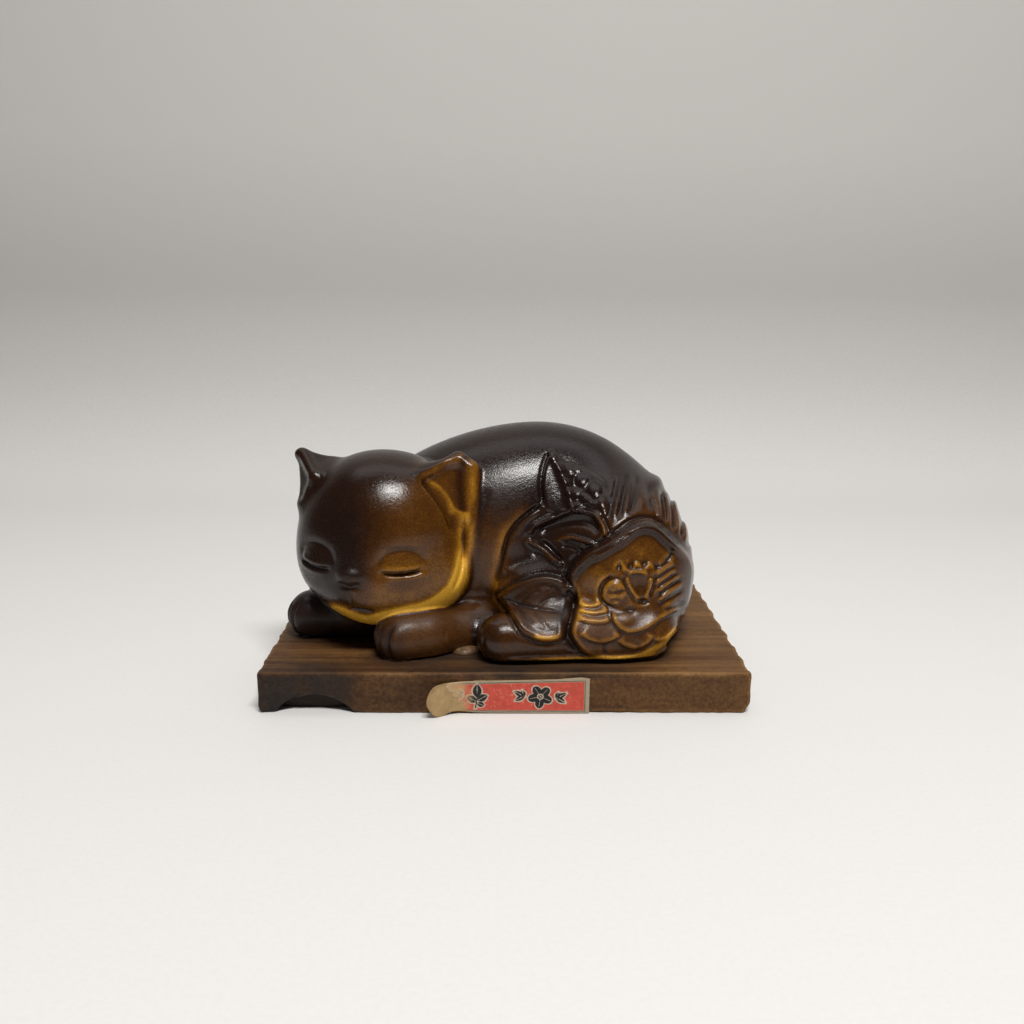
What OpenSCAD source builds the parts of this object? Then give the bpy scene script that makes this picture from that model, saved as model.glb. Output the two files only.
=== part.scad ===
// Sleeping cat with a peony, moulded in one piece and fixed to a carved board.
// Millimetres, +Z up. The origin is the centre of the board's underside and
// the front of the board faces -Y.

/* [Board] */
// Width of the board along its front edge
board_w = 120; // [118:1:130]
// Depth of the board from front to back
board_d = 72; // [72:1:80]
// Thickness of the board
board_t = 10.4; // [9.5:0.1:13]
// Number of gouge cuts along each end of the board
flute_n = 8; // [5:1:12]
// Depth of each gouge cut
flute_depth = 0.9; // [0.4:0.1:1.5]
// Chamfer along the lower edge of each end
end_chamfer = 1.6; // [0.5:0.1:2.5]
// Width of the charred hollow under the front left edge
hollow_w = 18.6; // [12:0.2:22]
// Height of the charred hollow
hollow_h = 4.4; // [2:0.1:5]
// How far the hollow runs in from the front
hollow_d = 3.5; // [2:0.5:14]

/* [Head] */
// Half width, half depth and half height of the head
head_r = [21.7, 18.3, 20.5];
// How far the face turns towards the left
head_turn = 12; // [9:1:15]
// How far the head leans over
head_lean = 8; // [5:1:11]
// Height of the head's centre over the board
head_up = 27.9; // [27:0.1:29]

/* [Body] */
// Half width of the trunk
trunk_w = 35; // [33:0.5:36]
// Half height of the trunk
trunk_h = 29.5; // [28:0.5:30]
// Radius of the hind foot at its toes
foot_r = 6.4; // [5.5:0.1:7]
// Radius of the front paws
paw_r = 6.8; // [5.8:0.1:7]

/* [Carving] */
// Number of petals in the outer ring of the peony
petals_out = 10; // [7:1:12]
// Number of petals in the inner ring
petals_in = 6; // [4:1:8]
// Radius of the whole bloom
bloom_r = 15.5; // [13:0.5:16]
// Height of the carving over the skin
relief = 1.6; // [0.8:0.1:2.2]

/* [Fixings] */
// Length of the wood screws
screw_len = 20; // [17:0.5:22]
// Outer diameter of the screw thread
screw_d = 3.5; // [3:0.1:4]
// Diameter of the screw heads
screw_head_d = 6.8; // [6:0.1:8]
// Thickness of the glue under the figure
glue_t = 0.5; // [0.3:0.05:0.8]

/* [Label] */
// Length of the printed paper label that still lies on the board
label_flat = 29.5; // [24:0.5:32]
// Height of the label
label_h = 8.9; // [7:0.1:9.2]
// Thickness of the label's tan core
core_t = 0.16; // [0.12:0.01:0.25]
// Thickness of the printed face
face_t = 0.08; // [0.06:0.01:0.12]
// Radius to which the loose end has curled
curl_r = 13.5; // [10:0.5:20]

/* [Hidden] */

foot_z = board_t + glue_t;                 // underside of the figure
up = foot_z - 10.9;                        // shift of the figure with board and glue
head_c = [-32.2, -8.0, board_t + head_up];
screw_at = [[-16, 3], [24, 3]];            // the two screws, from above
sink = 0.6;                                // screw heads sit this far inside the board
thread_fit = 0.02;
paste_t = 0.08;
label_right = 20.5;                        // right end of the label
label_up = 0.2;                            // the label ends this far above the table
front = -board_d / 2;

// ---------- skins drawn over soft masses ----------

// Distance-like value at p of an egg with centre c and half axes r
function egg(p, c, r) =
    let (q = p - c,
         a = norm([q.x / r.x, q.y / r.y, q.z / r.z]),
         b = norm([q.x / (r.x * r.x), q.y / (r.y * r.y), q.z / (r.z * r.z)]))
    a * (a - 1) / max(b, 1e-6);

// The same for a limb from a to b whose radius goes from ra to rb
function limb(p, a, b, ra, rb) =
    let (d = b - a, t = min(1, max(0, ((p - a) * d) / (d * d))))
    norm(p - a - t * d) - (ra + (rb - ra) * t);

// Union of two masses with a fillet of about k
function blend(a, b, k) =
    let (h = max(k - abs(a - b), 0) / k) min(a, b) - h * h * k / 4;

function seek(f, o, d, lo, hi, n) =
    n == 0 ? (lo + hi) / 2
    : let (m = (lo + hi) / 2)
      f(o + m * d) < 0 ? seek(f, o, d, m, hi, n - 1) : seek(f, o, d, lo, m, n - 1);

// Closed skin of the masses f, seen from the point o inside them
module skin(f, o, reach, na, ne) {
    rings = [for (j = [1:ne - 1]) [for (i = [0:na - 1])
        let (e = -90 + 180 * j / ne, a = 360 * i / na,
             d = [cos(e) * cos(a), cos(e) * sin(a), sin(e)])
        o + d * seek(f, o, d, 0, reach, 13)]];
    low = o + [0, 0, -1] * seek(f, o, [0, 0, -1], 0, reach, 13);
    top = o + [0, 0, 1] * seek(f, o, [0, 0, 1], 0, reach, 13);
    pts = concat([low], [for (r = rings) for (p = r) p], [top]);
    last = len(pts) - 1;
    function id(j, i) = 1 + j * na + (i % na);
    faces = concat(
        [for (i = [0:na - 1]) [0, id(0, i), id(0, i + 1)]],
        [for (j = [0:ne - 3]) for (i = [0:na - 1]) each [
            [id(j, i), id(j + 1, i), id(j, i + 1)],
            [id(j, i + 1), id(j + 1, i), id(j + 1, i + 1)]]],
        [for (i = [0:na - 1]) [last, id(ne - 2, i + 1), id(ne - 2, i)]]);
    polyhedron(pts, faces);
}

// ---------- masses of the cat ----------

// Tail, laid round the rump and along the far side
tail_line = [[44.5, 5, 17.2], [44, 17, 16.6], [37.5, 26, 16], [26, 30, 15.6], [13, 30.6, 15.3], [1, 29.2, 15]];
tail_mass = function (q)
    min([for (i = [0:4]) limb(q, tail_line[i], tail_line[i + 1], 5 - 0.28 * i, 4.72 - 0.28 * i)]);

body_mass = function (p)
    let (q = p - [0, 0, up],
         a = egg(q, [9, 9, 35], [trunk_w, 22, trunk_h]),
         b = blend(a, egg(q, [-14, 7, 31], [29, 20, 25]), 14),
         c = blend(b, egg(q, [30, -3, 28], [20.5, 24, 24]), 9),
         d = blend(c, egg(q, [29, 16, 26], [20, 16, 22]), 8),
         e = blend(d, egg(q, [11, -17, 22.5], [13.5, 8.5, 9.5]), 5))
    blend(e, tail_mass(q), 1.6);

// Near haunch together with the hind foot, for the carving to lie on
side_mass = function (p)
    blend(body_mass(p),
          limb(p - [0, 0, up], [0, -25, 16.5], [34, -21.5, 17], foot_r, 8), 4);

// A point of the face brought to the front, to draw an eye there
function ahead(p, a) = [p.x * cos(a) + p.y * sin(a), p.y * cos(a) - p.x * sin(a), p.z];
right_eye = [35, -20, 0.4];                // turn, y and height of the lid
left_eye = [-31, -20.7, -2.4];

head_mass = function (p)
    let (r = ahead(p, right_eye[0]), l = ahead(p, left_eye[0]),
         a = blend(egg(p, [0, 0, 0], head_r), egg(p, [-0.8, -5.5, -8], [16.5, 14, 11.5]), 8),
         b = blend(a, limb(p, [-0.6, -16.4, 2], [0.7, -18.6, -5.2], 1.8, 2.4), 4),
         c = blend(b, egg(p, [1.2, -15.4, -9.4], [6, 4.4, 4.6]), 5),
         d = blend(c, egg(r, [0, right_eye[1] + 1.9, right_eye[2]], [5.4, 2.7, 3.2]), 1))
    blend(d, egg(l, [0, left_eye[1] + 1.9, left_eye[2]], [5, 2.7, 3.2]), 1);

// y of the skin as met from the front at x, z
function front_y(x, z) = -60 + seek(function (p) -side_mass(p), [x, -60, z], [0, 1, 0], 0, 62, 12);

// A pad that follows the skin. half(u) is its half width along its length
// and lift(u, v) its height over the skin.
module pad(x, z, turn, len, half, lift, nu = 9, nv = 6) {
    function at(u, v) =
        let (a = u * len, b = v * half(u))
        [x + a * cos(turn) - b * sin(turn), z + a * sin(turn) + b * cos(turn)];
    outer = [for (i = [0:nu]) for (j = [0:nv])
        let (u = i / nu, v = 2 * j / nv - 1, q = at(u, v))
        [q.x, front_y(q.x, q.y) - lift(u, v), q.y]];
    inner = [for (i = [0:nu]) for (j = [0:nv])
        let (u = i / nu, v = 2 * j / nv - 1, q = at(u, v))
        [q.x, front_y(q.x, q.y) + 2.5, q.y]];
    w = nv + 1;
    n = (nu + 1) * w;
    faces = concat(
        [for (i = [0:nu - 1]) for (j = [0:nv - 1]) each [
            [i * w + j, (i + 1) * w + j, i * w + j + 1],
            [i * w + j + 1, (i + 1) * w + j, (i + 1) * w + j + 1],
            [n + i * w + j, n + i * w + j + 1, n + (i + 1) * w + j],
            [n + i * w + j + 1, n + (i + 1) * w + j + 1, n + (i + 1) * w + j]]],
        [for (i = [0:nu - 1]) each [
            [i * w, n + i * w, (i + 1) * w], [(i + 1) * w, n + i * w, n + (i + 1) * w],
            [i * w + nv, (i + 1) * w + nv, n + i * w + nv],
            [(i + 1) * w + nv, n + (i + 1) * w + nv, n + i * w + nv]]],
        [for (j = [0:nv - 1]) each [
            [j, j + 1, n + j], [j + 1, n + j + 1, n + j],
            [nu * w + j, n + nu * w + j, nu * w + j + 1],
            [nu * w + j + 1, n + nu * w + j, n + nu * w + j + 1]]]);
    polyhedron(concat(outer, inner), [for (f = faces) [f[2], f[1], f[0]]]);
}

module leaf(x, z, turn, len, wid) {
    pad(x, z, turn, len,
        function (u) 0.35 + wid / 2 * pow(sin(180 * min(1, u * 0.94 + 0.03)), 0.75) * (1 + 0.12 * sin(u * 1080)),
        function (u, v) relief * (0.35 + 0.65 * pow(sin(180 * (0.06 + 0.88 * u)), 0.6) * (0.45 + 0.55 * abs(v)) * (1.25 - 0.7 * v * v)));
}

module petal(x, z, turn, len, wid, lift) {
    pad(x, z, turn, len,
        function (u) wid / 2 * (0.55 + 0.45 * sin(180 * min(1, u * 0.9 + 0.1))) * (u > 0.8 ? 1 - 7 * (u - 0.8) * (u - 0.8) : 1),
        function (u, v) lift * (0.3 + 0.7 * sin(90 * u)) * (1 - 0.55 * v * v), 6, 4);
}

// Peony on the near haunch: outer petals, inner petals and three buds
module peony() {
    cx = 30.5;
    cz = 27.4 + up;
    for (i = [0:petals_out - 1])
        let (a = 360 * i / petals_out + 9)
        petal(cx + 4 * cos(a), cz + 4 * sin(a), a, bloom_r - 4, 9.6, relief * 1.25);
    for (i = [0:petals_in - 1])
        let (a = 360 * i / petals_in)
        petal(cx + 1.5 * cos(a), cz + 1.5 * sin(a), a, 7.8, 6.6, relief * 1.9);
    for (q = [[-1.6, -0.2], [2.4, 2.6], [2.6, -2.8]])
        translate([cx + q.x, front_y(cx + q.x, cz + q.y) - relief * 1.5, cz + q.y])
            scale([2.6, 1.6, 2.4]) sphere(1, $fn = 14);
}

module leaves() {
    leaf(15.5, 24.4 + up, 176, 16.5, 13.5);
    leaf(23.5, 39.5 + up, 173, 16, 9.5);
    leaf(17.5, 45 + up, 118, 15.5, 12);
    leaf(33, 44 + up, 100, 11, 9);
}

module ear(base, tip, w, back) {
    d = tip - base;
    difference() {
        hull() {
            translate(base) rotate([0, 0, back]) scale([w, 4.6, 7]) sphere(1, $fn = 24);
            translate(tip) sphere(1.5, $fn = 16);
        }
        // the open cup of the ear
        translate(base + d * 0.46 + [-sin(back) * -4.1, -cos(back) * 4.1, 0])
            rotate([0, 0, back]) rotate([0, atan2(d.x, d.z), 0])
                scale([w * 0.52, 3.1, norm(d) * 0.46]) sphere(1, $fn = 20);
    }
}

module head() {
    translate(head_c) rotate([4, head_lean, -head_turn]) difference() {
        skin(head_mass, [0, -2, -2], 40, 52, 28);
        // slits of the closed eyes
        for (e = [right_eye, left_eye])
            rotate([0, e[0] < 0 ? -4 : 5, e[0]]) translate([0, e[1] - 0.2, e[2] - 2.5])
                scale([4.4, 2.2, 0.5]) sphere(1, $fn = 16);
        // mouth
        translate([2.2, -17.6, -15]) scale([3.6, 2, 0.45]) sphere(1, $fn = 16);
    }
    translate([0, 0, up]) {
        ear([-19.5, -5.5, 48.5], [-9.6, -3, 60.2], 8.6, 8);
        ear([-46.5, -3.5, 49], [-52.8, -2.5, 60.2], 8, -24);
    }
}

module forelegs() {
    translate([0, 0, up]) {
        hull() {
            translate([-25.5, -22, 16.2]) sphere(paw_r, $fn = 26);
            translate([-6, -12, 19]) sphere(8.5, $fn = 26);
        }
        hull() {
            translate([-50.8, -5, 17.2]) sphere(paw_r, $fn = 26);
            translate([-30, -2, 18]) sphere(8, $fn = 26);
        }
    }
}

module hind_foot() {
    translate([0, 0, up]) hull() {
        translate([0, -25, 16.5]) sphere(foot_r, $fn = 28);
        translate([34, -21.5, 17]) sphere(8, $fn = 28);
    }
}

module cat_figure() {
    color([0.24, 0.12, 0.06]) difference() {
        // resize by nothing: the masses are joined as one moulded skin
        resize([0, 0, 0]) intersection() {
            union() {
                skin(body_mass, [9, 5, 26 + up], 62, 64, 30);
                head();
                forelegs();
                hind_foot();
                peony();
                leaves();
            }
            translate([-80, -60, foot_z]) cube([160, 120, 80]);
        }
        // blind pilot holes for the screws
        for (s = screw_at)
            translate([s.x, s.y, foot_z - 1])
                cylinder(d = screw_d + 2 * thread_fit, h = sink + screw_len + 1.4 - foot_z + 1, $fn = 32);
    }
}

module base_board() {
    fr = (pow(board_d / flute_n / 2, 2) + pow(flute_depth, 2)) / (2 * flute_depth);
    hr = (pow(hollow_w / 2, 2) + pow(hollow_h, 2)) / (2 * hollow_h);
    w = board_w / 2;
    color([0.36, 0.21, 0.11]) difference() {
        translate([0, board_d / 2, 0]) rotate([90, 0, 0]) linear_extrude(board_d)
            polygon([[-w + end_chamfer / 2, 0], [w - end_chamfer, 0], [w, end_chamfer * 1.6],
                     [w, board_t], [-w, board_t], [-w, end_chamfer]]);
        // gouge cuts down both ends
        for (i = [0:flute_n - 1], s = [-1, 1])
            translate([s * (w + fr - flute_depth), -board_d / 2 + (i + 0.5) * board_d / flute_n, -1])
                cylinder(r = fr, h = board_t + 2, $fn = 64);
        // charred hollow in the lower front edge
        translate([-45.7, front - 1, hollow_h - hr]) rotate([-90, 0, 0])
            cylinder(r = hr, h = hollow_d + 1, $fn = 64);
        // screw holes, countersunk from below
        for (s = screw_at) translate([s.x, s.y, 0]) {
            translate([0, 0, -1]) cylinder(d = screw_d + 0.5, h = board_t + 2, $fn = 32);
            translate([0, 0, -1]) cylinder(d = screw_head_d + 0.6, h = 1 + sink, $fn = 32);
            translate([0, 0, sink - 0.001])
                cylinder(d1 = screw_head_d + 0.6, d2 = screw_d + 0.5, h = (screw_head_d - screw_d + 0.1) / 2, $fn = 32);
        }
    }
}

module fixing_screws() {
    hh = (screw_head_d - screw_d) / 2;      // height of the countersunk head
    color([0.62, 0.58, 0.45]) for (s = screw_at) translate([s.x, s.y, sink]) difference() {
        union() {
            cylinder(d1 = screw_head_d, d2 = screw_d, h = hh, $fn = 32);
            translate([0, 0, hh - 0.01]) cylinder(d = screw_d, h = screw_len - hh - 2.5, $fn = 32);
            translate([0, 0, screw_len - 2.52]) cylinder(d1 = screw_d, d2 = 0.5, h = 2.5, $fn = 32);
        }
        // slot for the screwdriver
        translate([-screw_head_d, -0.45, -1]) cube([2 * screw_head_d, 0.9, 2]);
    }
}

// Footprint of the body on the glue, drawn in by a margin
function print_r(a) =
    seek(body_mass, [10, 4, foot_z + 0.6], [cos(a), sin(a), 0], 0, 60, 12) - 2.2;

module glue_bed() {
    color([0.30, 0.19, 0.10]) difference() {
        union() {
            translate([10, 4, board_t]) linear_extrude(glue_t)
                polygon([for (i = [0:47]) let (a = i * 7.5) print_r(a) * [cos(a), sin(a)]]);
            // glue that was pressed out between the paw and the hind foot
            translate([-11.5, -22.6, board_t]) cube([3, 24, glue_t]);
            translate([-10, -22.4, board_t]) rotate_extrude($fn = 40)
                polygon(concat([[0, 0]], [for (i = [0:8]) let (a = 90 * i / 8) [2.7 * cos(a), 1.6 * sin(a)]]));
        }
        for (s = screw_at)
            translate([s.x, s.y, board_t - 1]) cylinder(d = screw_d + 0.5, h = 3, $fn = 32);
    }
}

// ---------- label ----------

// Plan of the label's line at the distance s from its right end, off the board by o
function label_line(s, o) =
    s <= label_flat ? [label_right - s, front - o]
    : let (a = (s - label_flat) / curl_r * 180 / PI)
      [label_right - label_flat - (curl_r - o) * sin(a), front - curl_r + (curl_r - o) * cos(a)];

function label_band(s0, s1, o0, o1, n = 14) =
    let (mid = [for (i = [0:n]) max(s0, label_flat) + (s1 - max(s0, label_flat)) * i / n],
         s = s1 <= label_flat ? [s0, s1] : s0 < label_flat ? concat([s0], mid) : mid)
    concat([for (v = s) label_line(v, o0)],
           [for (i = [len(s) - 1:-1:0]) label_line(s[i], o1)]);

module label_sheet(s0, s1, o0, o1, outline) {
    intersection() {
        linear_extrude(board_t + 2) polygon(label_band(s0, s1, o0, o1));
        translate([0, front + 5, 0]) rotate([90, 0, 0]) linear_extrude(25) polygon(outline);
    }
}

curl_len = 12;
module label_paste() {
    color([0.66, 0.55, 0.36])
        label_sheet(0.3, label_flat - 1.5, 0, paste_t,
            [[-30, label_up + 0.3], [label_right + 1, label_up + 0.3],
             [label_right + 1, label_h - 0.1], [-30, label_h - 0.5]]);
}

module label_core() {
    color([0.72, 0.60, 0.40])
        label_sheet(0, label_flat + curl_len, paste_t, paste_t + core_t,
            [[label_right + 1, label_up], [label_right + 1, label_up + label_h],
             [-8.4, label_up + label_h - 0.7], [-15, label_up + label_h - 0.95],
             [-18.3, label_up + label_h - 1.2], [-19.4, label_up + label_h - 2.4],
             [-20.3, 4.6], [-19.8, 2.6], [-18.6, 1.0], [-17.4, 0.25], [-15.8, label_up],
             [-13.8, 0.35], [-12.2, 0.75], [-9.5, 0.55], [-6, label_up + 0.05]]);
}

module label_face() {
    color([0.86, 0.32, 0.28])
        label_sheet(0, label_flat + 8, paste_t + core_t, paste_t + core_t + face_t,
            [[label_right + 1, label_up], [label_right + 1, label_up + label_h],
             [-8.4, label_up + label_h - 0.7], [-14.6, label_up + label_h - 1.05],
             [-15.6, 7.2], [-14.4, 6.6], [-15.2, 5.8], [-13.2, 5.2], [-13.7, 4.2],
             [-12.0, 3.6], [-12.5, 2.5], [-10.9, 2.0], [-11.2, 1.2], [-9.4, 0.8], [-6, label_up + 0.05]]);
}

cat_figure();
base_board();
fixing_screws();
glue_bed();
label_paste();
label_core();
label_face();
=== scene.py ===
import bpy, math
import numpy as np
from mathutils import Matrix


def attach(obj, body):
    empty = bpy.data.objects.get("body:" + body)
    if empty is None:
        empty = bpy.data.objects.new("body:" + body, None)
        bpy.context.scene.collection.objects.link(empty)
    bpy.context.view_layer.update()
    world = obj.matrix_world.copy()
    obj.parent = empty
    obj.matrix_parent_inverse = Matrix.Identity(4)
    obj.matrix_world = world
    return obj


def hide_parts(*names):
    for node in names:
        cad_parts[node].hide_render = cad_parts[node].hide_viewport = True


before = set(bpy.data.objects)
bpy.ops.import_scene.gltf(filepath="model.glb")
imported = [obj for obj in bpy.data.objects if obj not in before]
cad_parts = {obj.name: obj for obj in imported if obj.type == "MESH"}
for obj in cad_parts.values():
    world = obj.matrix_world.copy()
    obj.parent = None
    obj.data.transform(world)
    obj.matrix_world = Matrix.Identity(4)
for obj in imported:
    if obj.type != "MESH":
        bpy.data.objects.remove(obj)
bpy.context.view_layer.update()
f32 = np.float32
scene = bpy.context.scene

# ---------------------------------------------------------------- camera
# The fixed view cone, in millimetres of the row frame: eye, and forward, right and up.
EYE = np.array([-2.1, -261.6, 103.8])
TILT, YAW, ROLL = math.radians(13.33), math.radians(0.9), math.radians(0.38)
FWD = np.array([math.sin(YAW) * math.cos(TILT), math.cos(YAW) * math.cos(TILT), -math.sin(TILT)])
RGT = np.array([math.cos(YAW), -math.sin(YAW), 0.0])
UPW = np.cross(RGT, FWD)
RGT = RGT * math.cos(ROLL) + UPW * math.sin(ROLL)
UPW = np.cross(RGT, FWD)
cam_data = bpy.data.cameras.new("cam")
cam_data.lens, cam_data.sensor_width = 1000 / 1024 * 36, 36
cam_data.clip_start, cam_data.clip_end = 0.01, 10
cam = bpy.data.objects.new("cam", cam_data)
scene.collection.objects.link(cam)
from mathutils import Matrix
m = Matrix.Identity(4)
for i in range(3):
    m[i][0], m[i][1], m[i][2], m[i][3] = RGT[i], UPW[i], -FWD[i], EYE[i] / 1000
cam.matrix_world = m
scene.camera = cam

def seen(P):
    """place of a point in the fixed view cone, as carving coordinates"""
    d = P - EYE.astype(f32)
    z = d @ FWD.astype(f32)
    return 512 + 1000 * (d @ RGT.astype(f32)) / z, 512 - 1000 * (d @ UPW.astype(f32)) / z

# ---------------------------------------------------------------- small helpers
def mesh_object(name, verts_mm, faces, attrs=None, smooth=True):
    me = bpy.data.meshes.new(name)
    v = np.asarray(verts_mm, np.float32) / 1000
    q = np.asarray(faces, np.int32)
    k = q.shape[1]
    me.vertices.add(len(v)); me.vertices.foreach_set("co", v.ravel())
    me.loops.add(q.size); me.loops.foreach_set("vertex_index", q.ravel())
    me.polygons.add(len(q)); me.polygons.foreach_set("loop_start", np.arange(len(q), dtype=np.int32) * k)
    me.update(calc_edges=True); me.validate()
    if attrs:
        for n, a in attrs.items():
            at = me.attributes.new(n, "FLOAT_COLOR", "POINT")
            c = np.ones((len(v), 4), np.float32)
            c[:, :a.shape[1]] = a
            at.data.foreach_set("color", c.ravel())
    if smooth:
        me.polygons.foreach_set("use_smooth", np.ones(len(me.polygons), bool))
    ob = bpy.data.objects.new(name, me)
    scene.collection.objects.link(ob)
    return ob

class Mat:
    """a thin wrapper to wire up one material"""
    def __init__(self, name):
        self.m = bpy.data.materials.new(name); self.m.use_nodes = True
        self.t = self.m.node_tree; self.n = self.t.nodes; self.b = self.n["Principled BSDF"]
    def node(self, kind, **kw):
        x = self.n.new(kind)
        for k, v in kw.items():
            if hasattr(x, k): setattr(x, k, v)
            else: self.put(x.inputs[k], v)
        return x
    def put(self, sock, v):
        if hasattr(v, "is_output"): self.t.links.new(v, sock)
        else: sock.default_value = v
    def math(self, op, a, b=0.0, c=None, clamp=False):
        x = self.n.new("ShaderNodeMath"); x.operation = op; x.use_clamp = clamp
        self.put(x.inputs[0], a); self.put(x.inputs[1], b)
        if c is not None: self.put(x.inputs[2], c)
        return x.outputs[0]
    def coord(self, scale=(1, 1, 1), loc=(0, 0, 0), rot=(0, 0, 0)):
        g = self.n.new("ShaderNodeTexCoord"); mp = self.n.new("ShaderNodeMapping")
        self.t.links.new(g.outputs["Object"], mp.inputs["Vector"])
        mp.inputs["Scale"].default_value = scale; mp.inputs["Location"].default_value = loc; mp.inputs["Rotation"].default_value = rot
        return mp.outputs[0]
    def noise(self, vec, scale, detail=2.0, rough=0.5, dist=0.0):
        x = self.n.new("ShaderNodeTexNoise"); self.t.links.new(vec, x.inputs["Vector"])
        x.inputs["Scale"].default_value = scale; x.inputs["Detail"].default_value = detail
        x.inputs["Roughness"].default_value = rough; x.inputs["Distortion"].default_value = dist
        return x.outputs[0]
    def ramp(self, fac, stops, interp="LINEAR"):
        x = self.n.new("ShaderNodeValToRGB"); self.put(x.inputs[0], fac); r = x.color_ramp; r.interpolation = interp
        while len(r.elements) < len(stops): r.elements.new(0.5)
        for e, (p, c) in zip(r.elements, stops):
            e.position = p; e.color = (*c, 1) if len(c) == 3 else c
        return x.outputs[0]
    def mix(self, fac, a, b, mode="MIX"):
        x = self.n.new("ShaderNodeMix"); x.data_type = "RGBA"; x.blend_type = mode
        self.put(x.inputs[0], fac); self.put(x.inputs[6], a if hasattr(a, "is_output") else (*a, 1)); self.put(x.inputs[7], b if hasattr(b, "is_output") else (*b, 1))
        return x.outputs[2]
    def attr(self, name):
        x = self.n.new("ShaderNodeAttribute"); x.attribute_name = name; s = self.n.new("ShaderNodeSeparateColor")
        self.t.links.new(x.outputs["Color"], s.inputs[0]); return s.outputs[0], s.outputs[1], s.outputs[2], x.outputs["Color"]
    def bump(self, height, strength, dist, normal=None):
        x = self.n.new("ShaderNodeBump"); self.put(x.inputs["Height"], height)
        x.inputs["Strength"].default_value = strength; x.inputs["Distance"].default_value = dist
        if normal is not None: self.t.links.new(normal, x.inputs["Normal"])
        return x.outputs[0]
    def set(self, **kw):
        for k, v in kw.items():
            s = self.b.inputs[k.replace("_", " ")]
            if not hasattr(v, "is_output") and isinstance(v, tuple) and len(v) == 3: v = (*v, 1)
            self.put(s, v)
        return self

def dress(ob, mat):
    ob.data.materials.clear(); ob.data.materials.append(mat.m if isinstance(mat, Mat) else mat)

# ---------------------------------------------------------------- stage and light
def stage():
    # pale floor that sweeps up into a grey backdrop; its colour ramp by height paints light falloff, a lighter band at
    # the foot of the sweep and the wall darkening upward
    pts = [(-1.2, 0), (0.19, 0)]
    pts += [(0.19 + 0.11 * math.sin(a), 0.11 - 0.11 * math.cos(a)) for a in np.linspace(0.08, math.pi / 2, 16)]
    pts += [(0.30, 0.9)]
    v, f = [], []
    for y, z in pts:
        v += [(-1.6, y, z), (1.6, y, z)]
    for i in range(len(pts) - 1):
        f.append((2 * i, 2 * i + 1, 2 * i + 3, 2 * i + 2))
    me = bpy.data.meshes.new("studio_sweep"); me.from_pydata(v, [], f)
    me.polygons.foreach_set("use_smooth", np.ones(len(f), bool))
    ob = bpy.data.objects.new("studio_sweep", me); scene.collection.objects.link(ob)
    M = Mat("studio_paper")
    n = M.noise(M.coord(), 900, 3, 0.6)
    g = M.n.new("ShaderNodeTexCoord"); z = M.n.new("ShaderNodeSeparateXYZ"); M.t.links.new(g.outputs["Object"], z.inputs[0])
    k = M.math("MULTIPLY_ADD", n, 0.03, z.outputs[2])
    # painted light falloff: the colour by height gets lighter at the foot of the sweep and darker up the wall
    M.set(Base_Color=M.ramp(k, [(0.0, (0.812, 0.80, 0.785)), (0.02, (0.855, 0.845, 0.83)), (0.035, (0.80, 0.79, 0.775)), (0.065, (0.68, 0.67, 0.655)), (0.11, (0.57, 0.56, 0.545)), (0.19, (0.66, 0.64, 0.62))]), Roughness=0.9, Specular_IOR_Level=0.2)
    M.set(Normal=M.bump(n, 0.05, 0.0002))
    dress(ob, M)

def area(name, loc, target, size, power, col=(1, 1, 1)):
    d = bpy.data.lights.new(name, "AREA"); d.shape = "RECTANGLE"; d.size, d.size_y = size; d.energy = power; d.color = col
    o = bpy.data.objects.new(name, d); scene.collection.objects.link(o)
    from mathutils import Vector
    o.location = loc; o.rotation_euler = (Vector(target) - Vector(loc)).to_track_quat("-Z", "Y").to_euler()
    return o

w = bpy.data.worlds.new("room"); scene.world = w; w.use_nodes = True
w.node_tree.nodes["Background"].inputs[0].default_value = (1.0, 0.985, 0.965, 1)
w.node_tree.nodes["Background"].inputs[1].default_value = 0.05
area("top_soft", (0.09, -0.36, 0.70), (0, 0, 0.03), (0.30, 0.12), 4.8, (1, 0.985, 0.96))
area("overhead", (0.0, 0.45, 1.50), (0, 0.12, 0.0), (1.9, 1.1), 8.0, (1, 0.99, 0.98))
stage()
scene.view_settings.view_transform = "Standard"
scene.view_settings.look = "None"

# ---------------------------------------------------------------- distance fields
f32=np.float32
def V(*a): return np.array(a,f32)
def rot(rx=0,ry=0,rz=0):
    rx,ry,rz=np.radians([rx,ry,rz])
    cx,sx,cy,sy,cz,sz=np.cos(rx),np.sin(rx),np.cos(ry),np.sin(ry),np.cos(rz),np.sin(rz)
    X=np.array([[1,0,0],[0,cx,-sx],[0,sx,cx]]);Y=np.array([[cy,0,sy],[0,1,0],[-sy,0,cy]]);Z=np.array([[cz,-sz,0],[sz,cz,0],[0,0,1]])
    return (Z@Y@X).astype(f32)
def ell(p,c,r,R=None):
    q=p-V(*c)
    if R is not None: q=q@R      # columns of R are the local axes
    r=V(*r)
    a=q/r; k0=np.sqrt((a*a).sum(-1)); b=a/r; k1=np.sqrt((b*b).sum(-1))+1e-6
    return k0*(k0-1)/k1
def cone(p,a,b,ra,rb):
    a,b=V(*a),V(*b); ba=b-a; t=np.clip(((p-a)@ba)/(ba@ba),0,1)
    return np.sqrt((((p-a)-t[...,None]*ba)**2).sum(-1))-(ra+(rb-ra)*t)
def smin(a,b,k):
    h=np.maximum(k-np.abs(a-b),0)/k
    return np.minimum(a,b)-h*h*k*0.25
def smax(a,b,k): return -smin(-a,-b,k)

f32=np.float32
BT=10.4; T=10.9
HR=rot(4,8,-12); FR=rot(4,2,-13)
HC=np.array((-32.2,-8.0,38.3),f32)
def hp(x,y,z): return tuple(HC+HR@np.array([x,y,z],f32))
def sst(a,b,x):
    t=np.clip((x-a)/(b-a),0,1); return t*t*(3-2*t)
def gau(x,s): return np.exp(-(x/s)**2)
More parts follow.
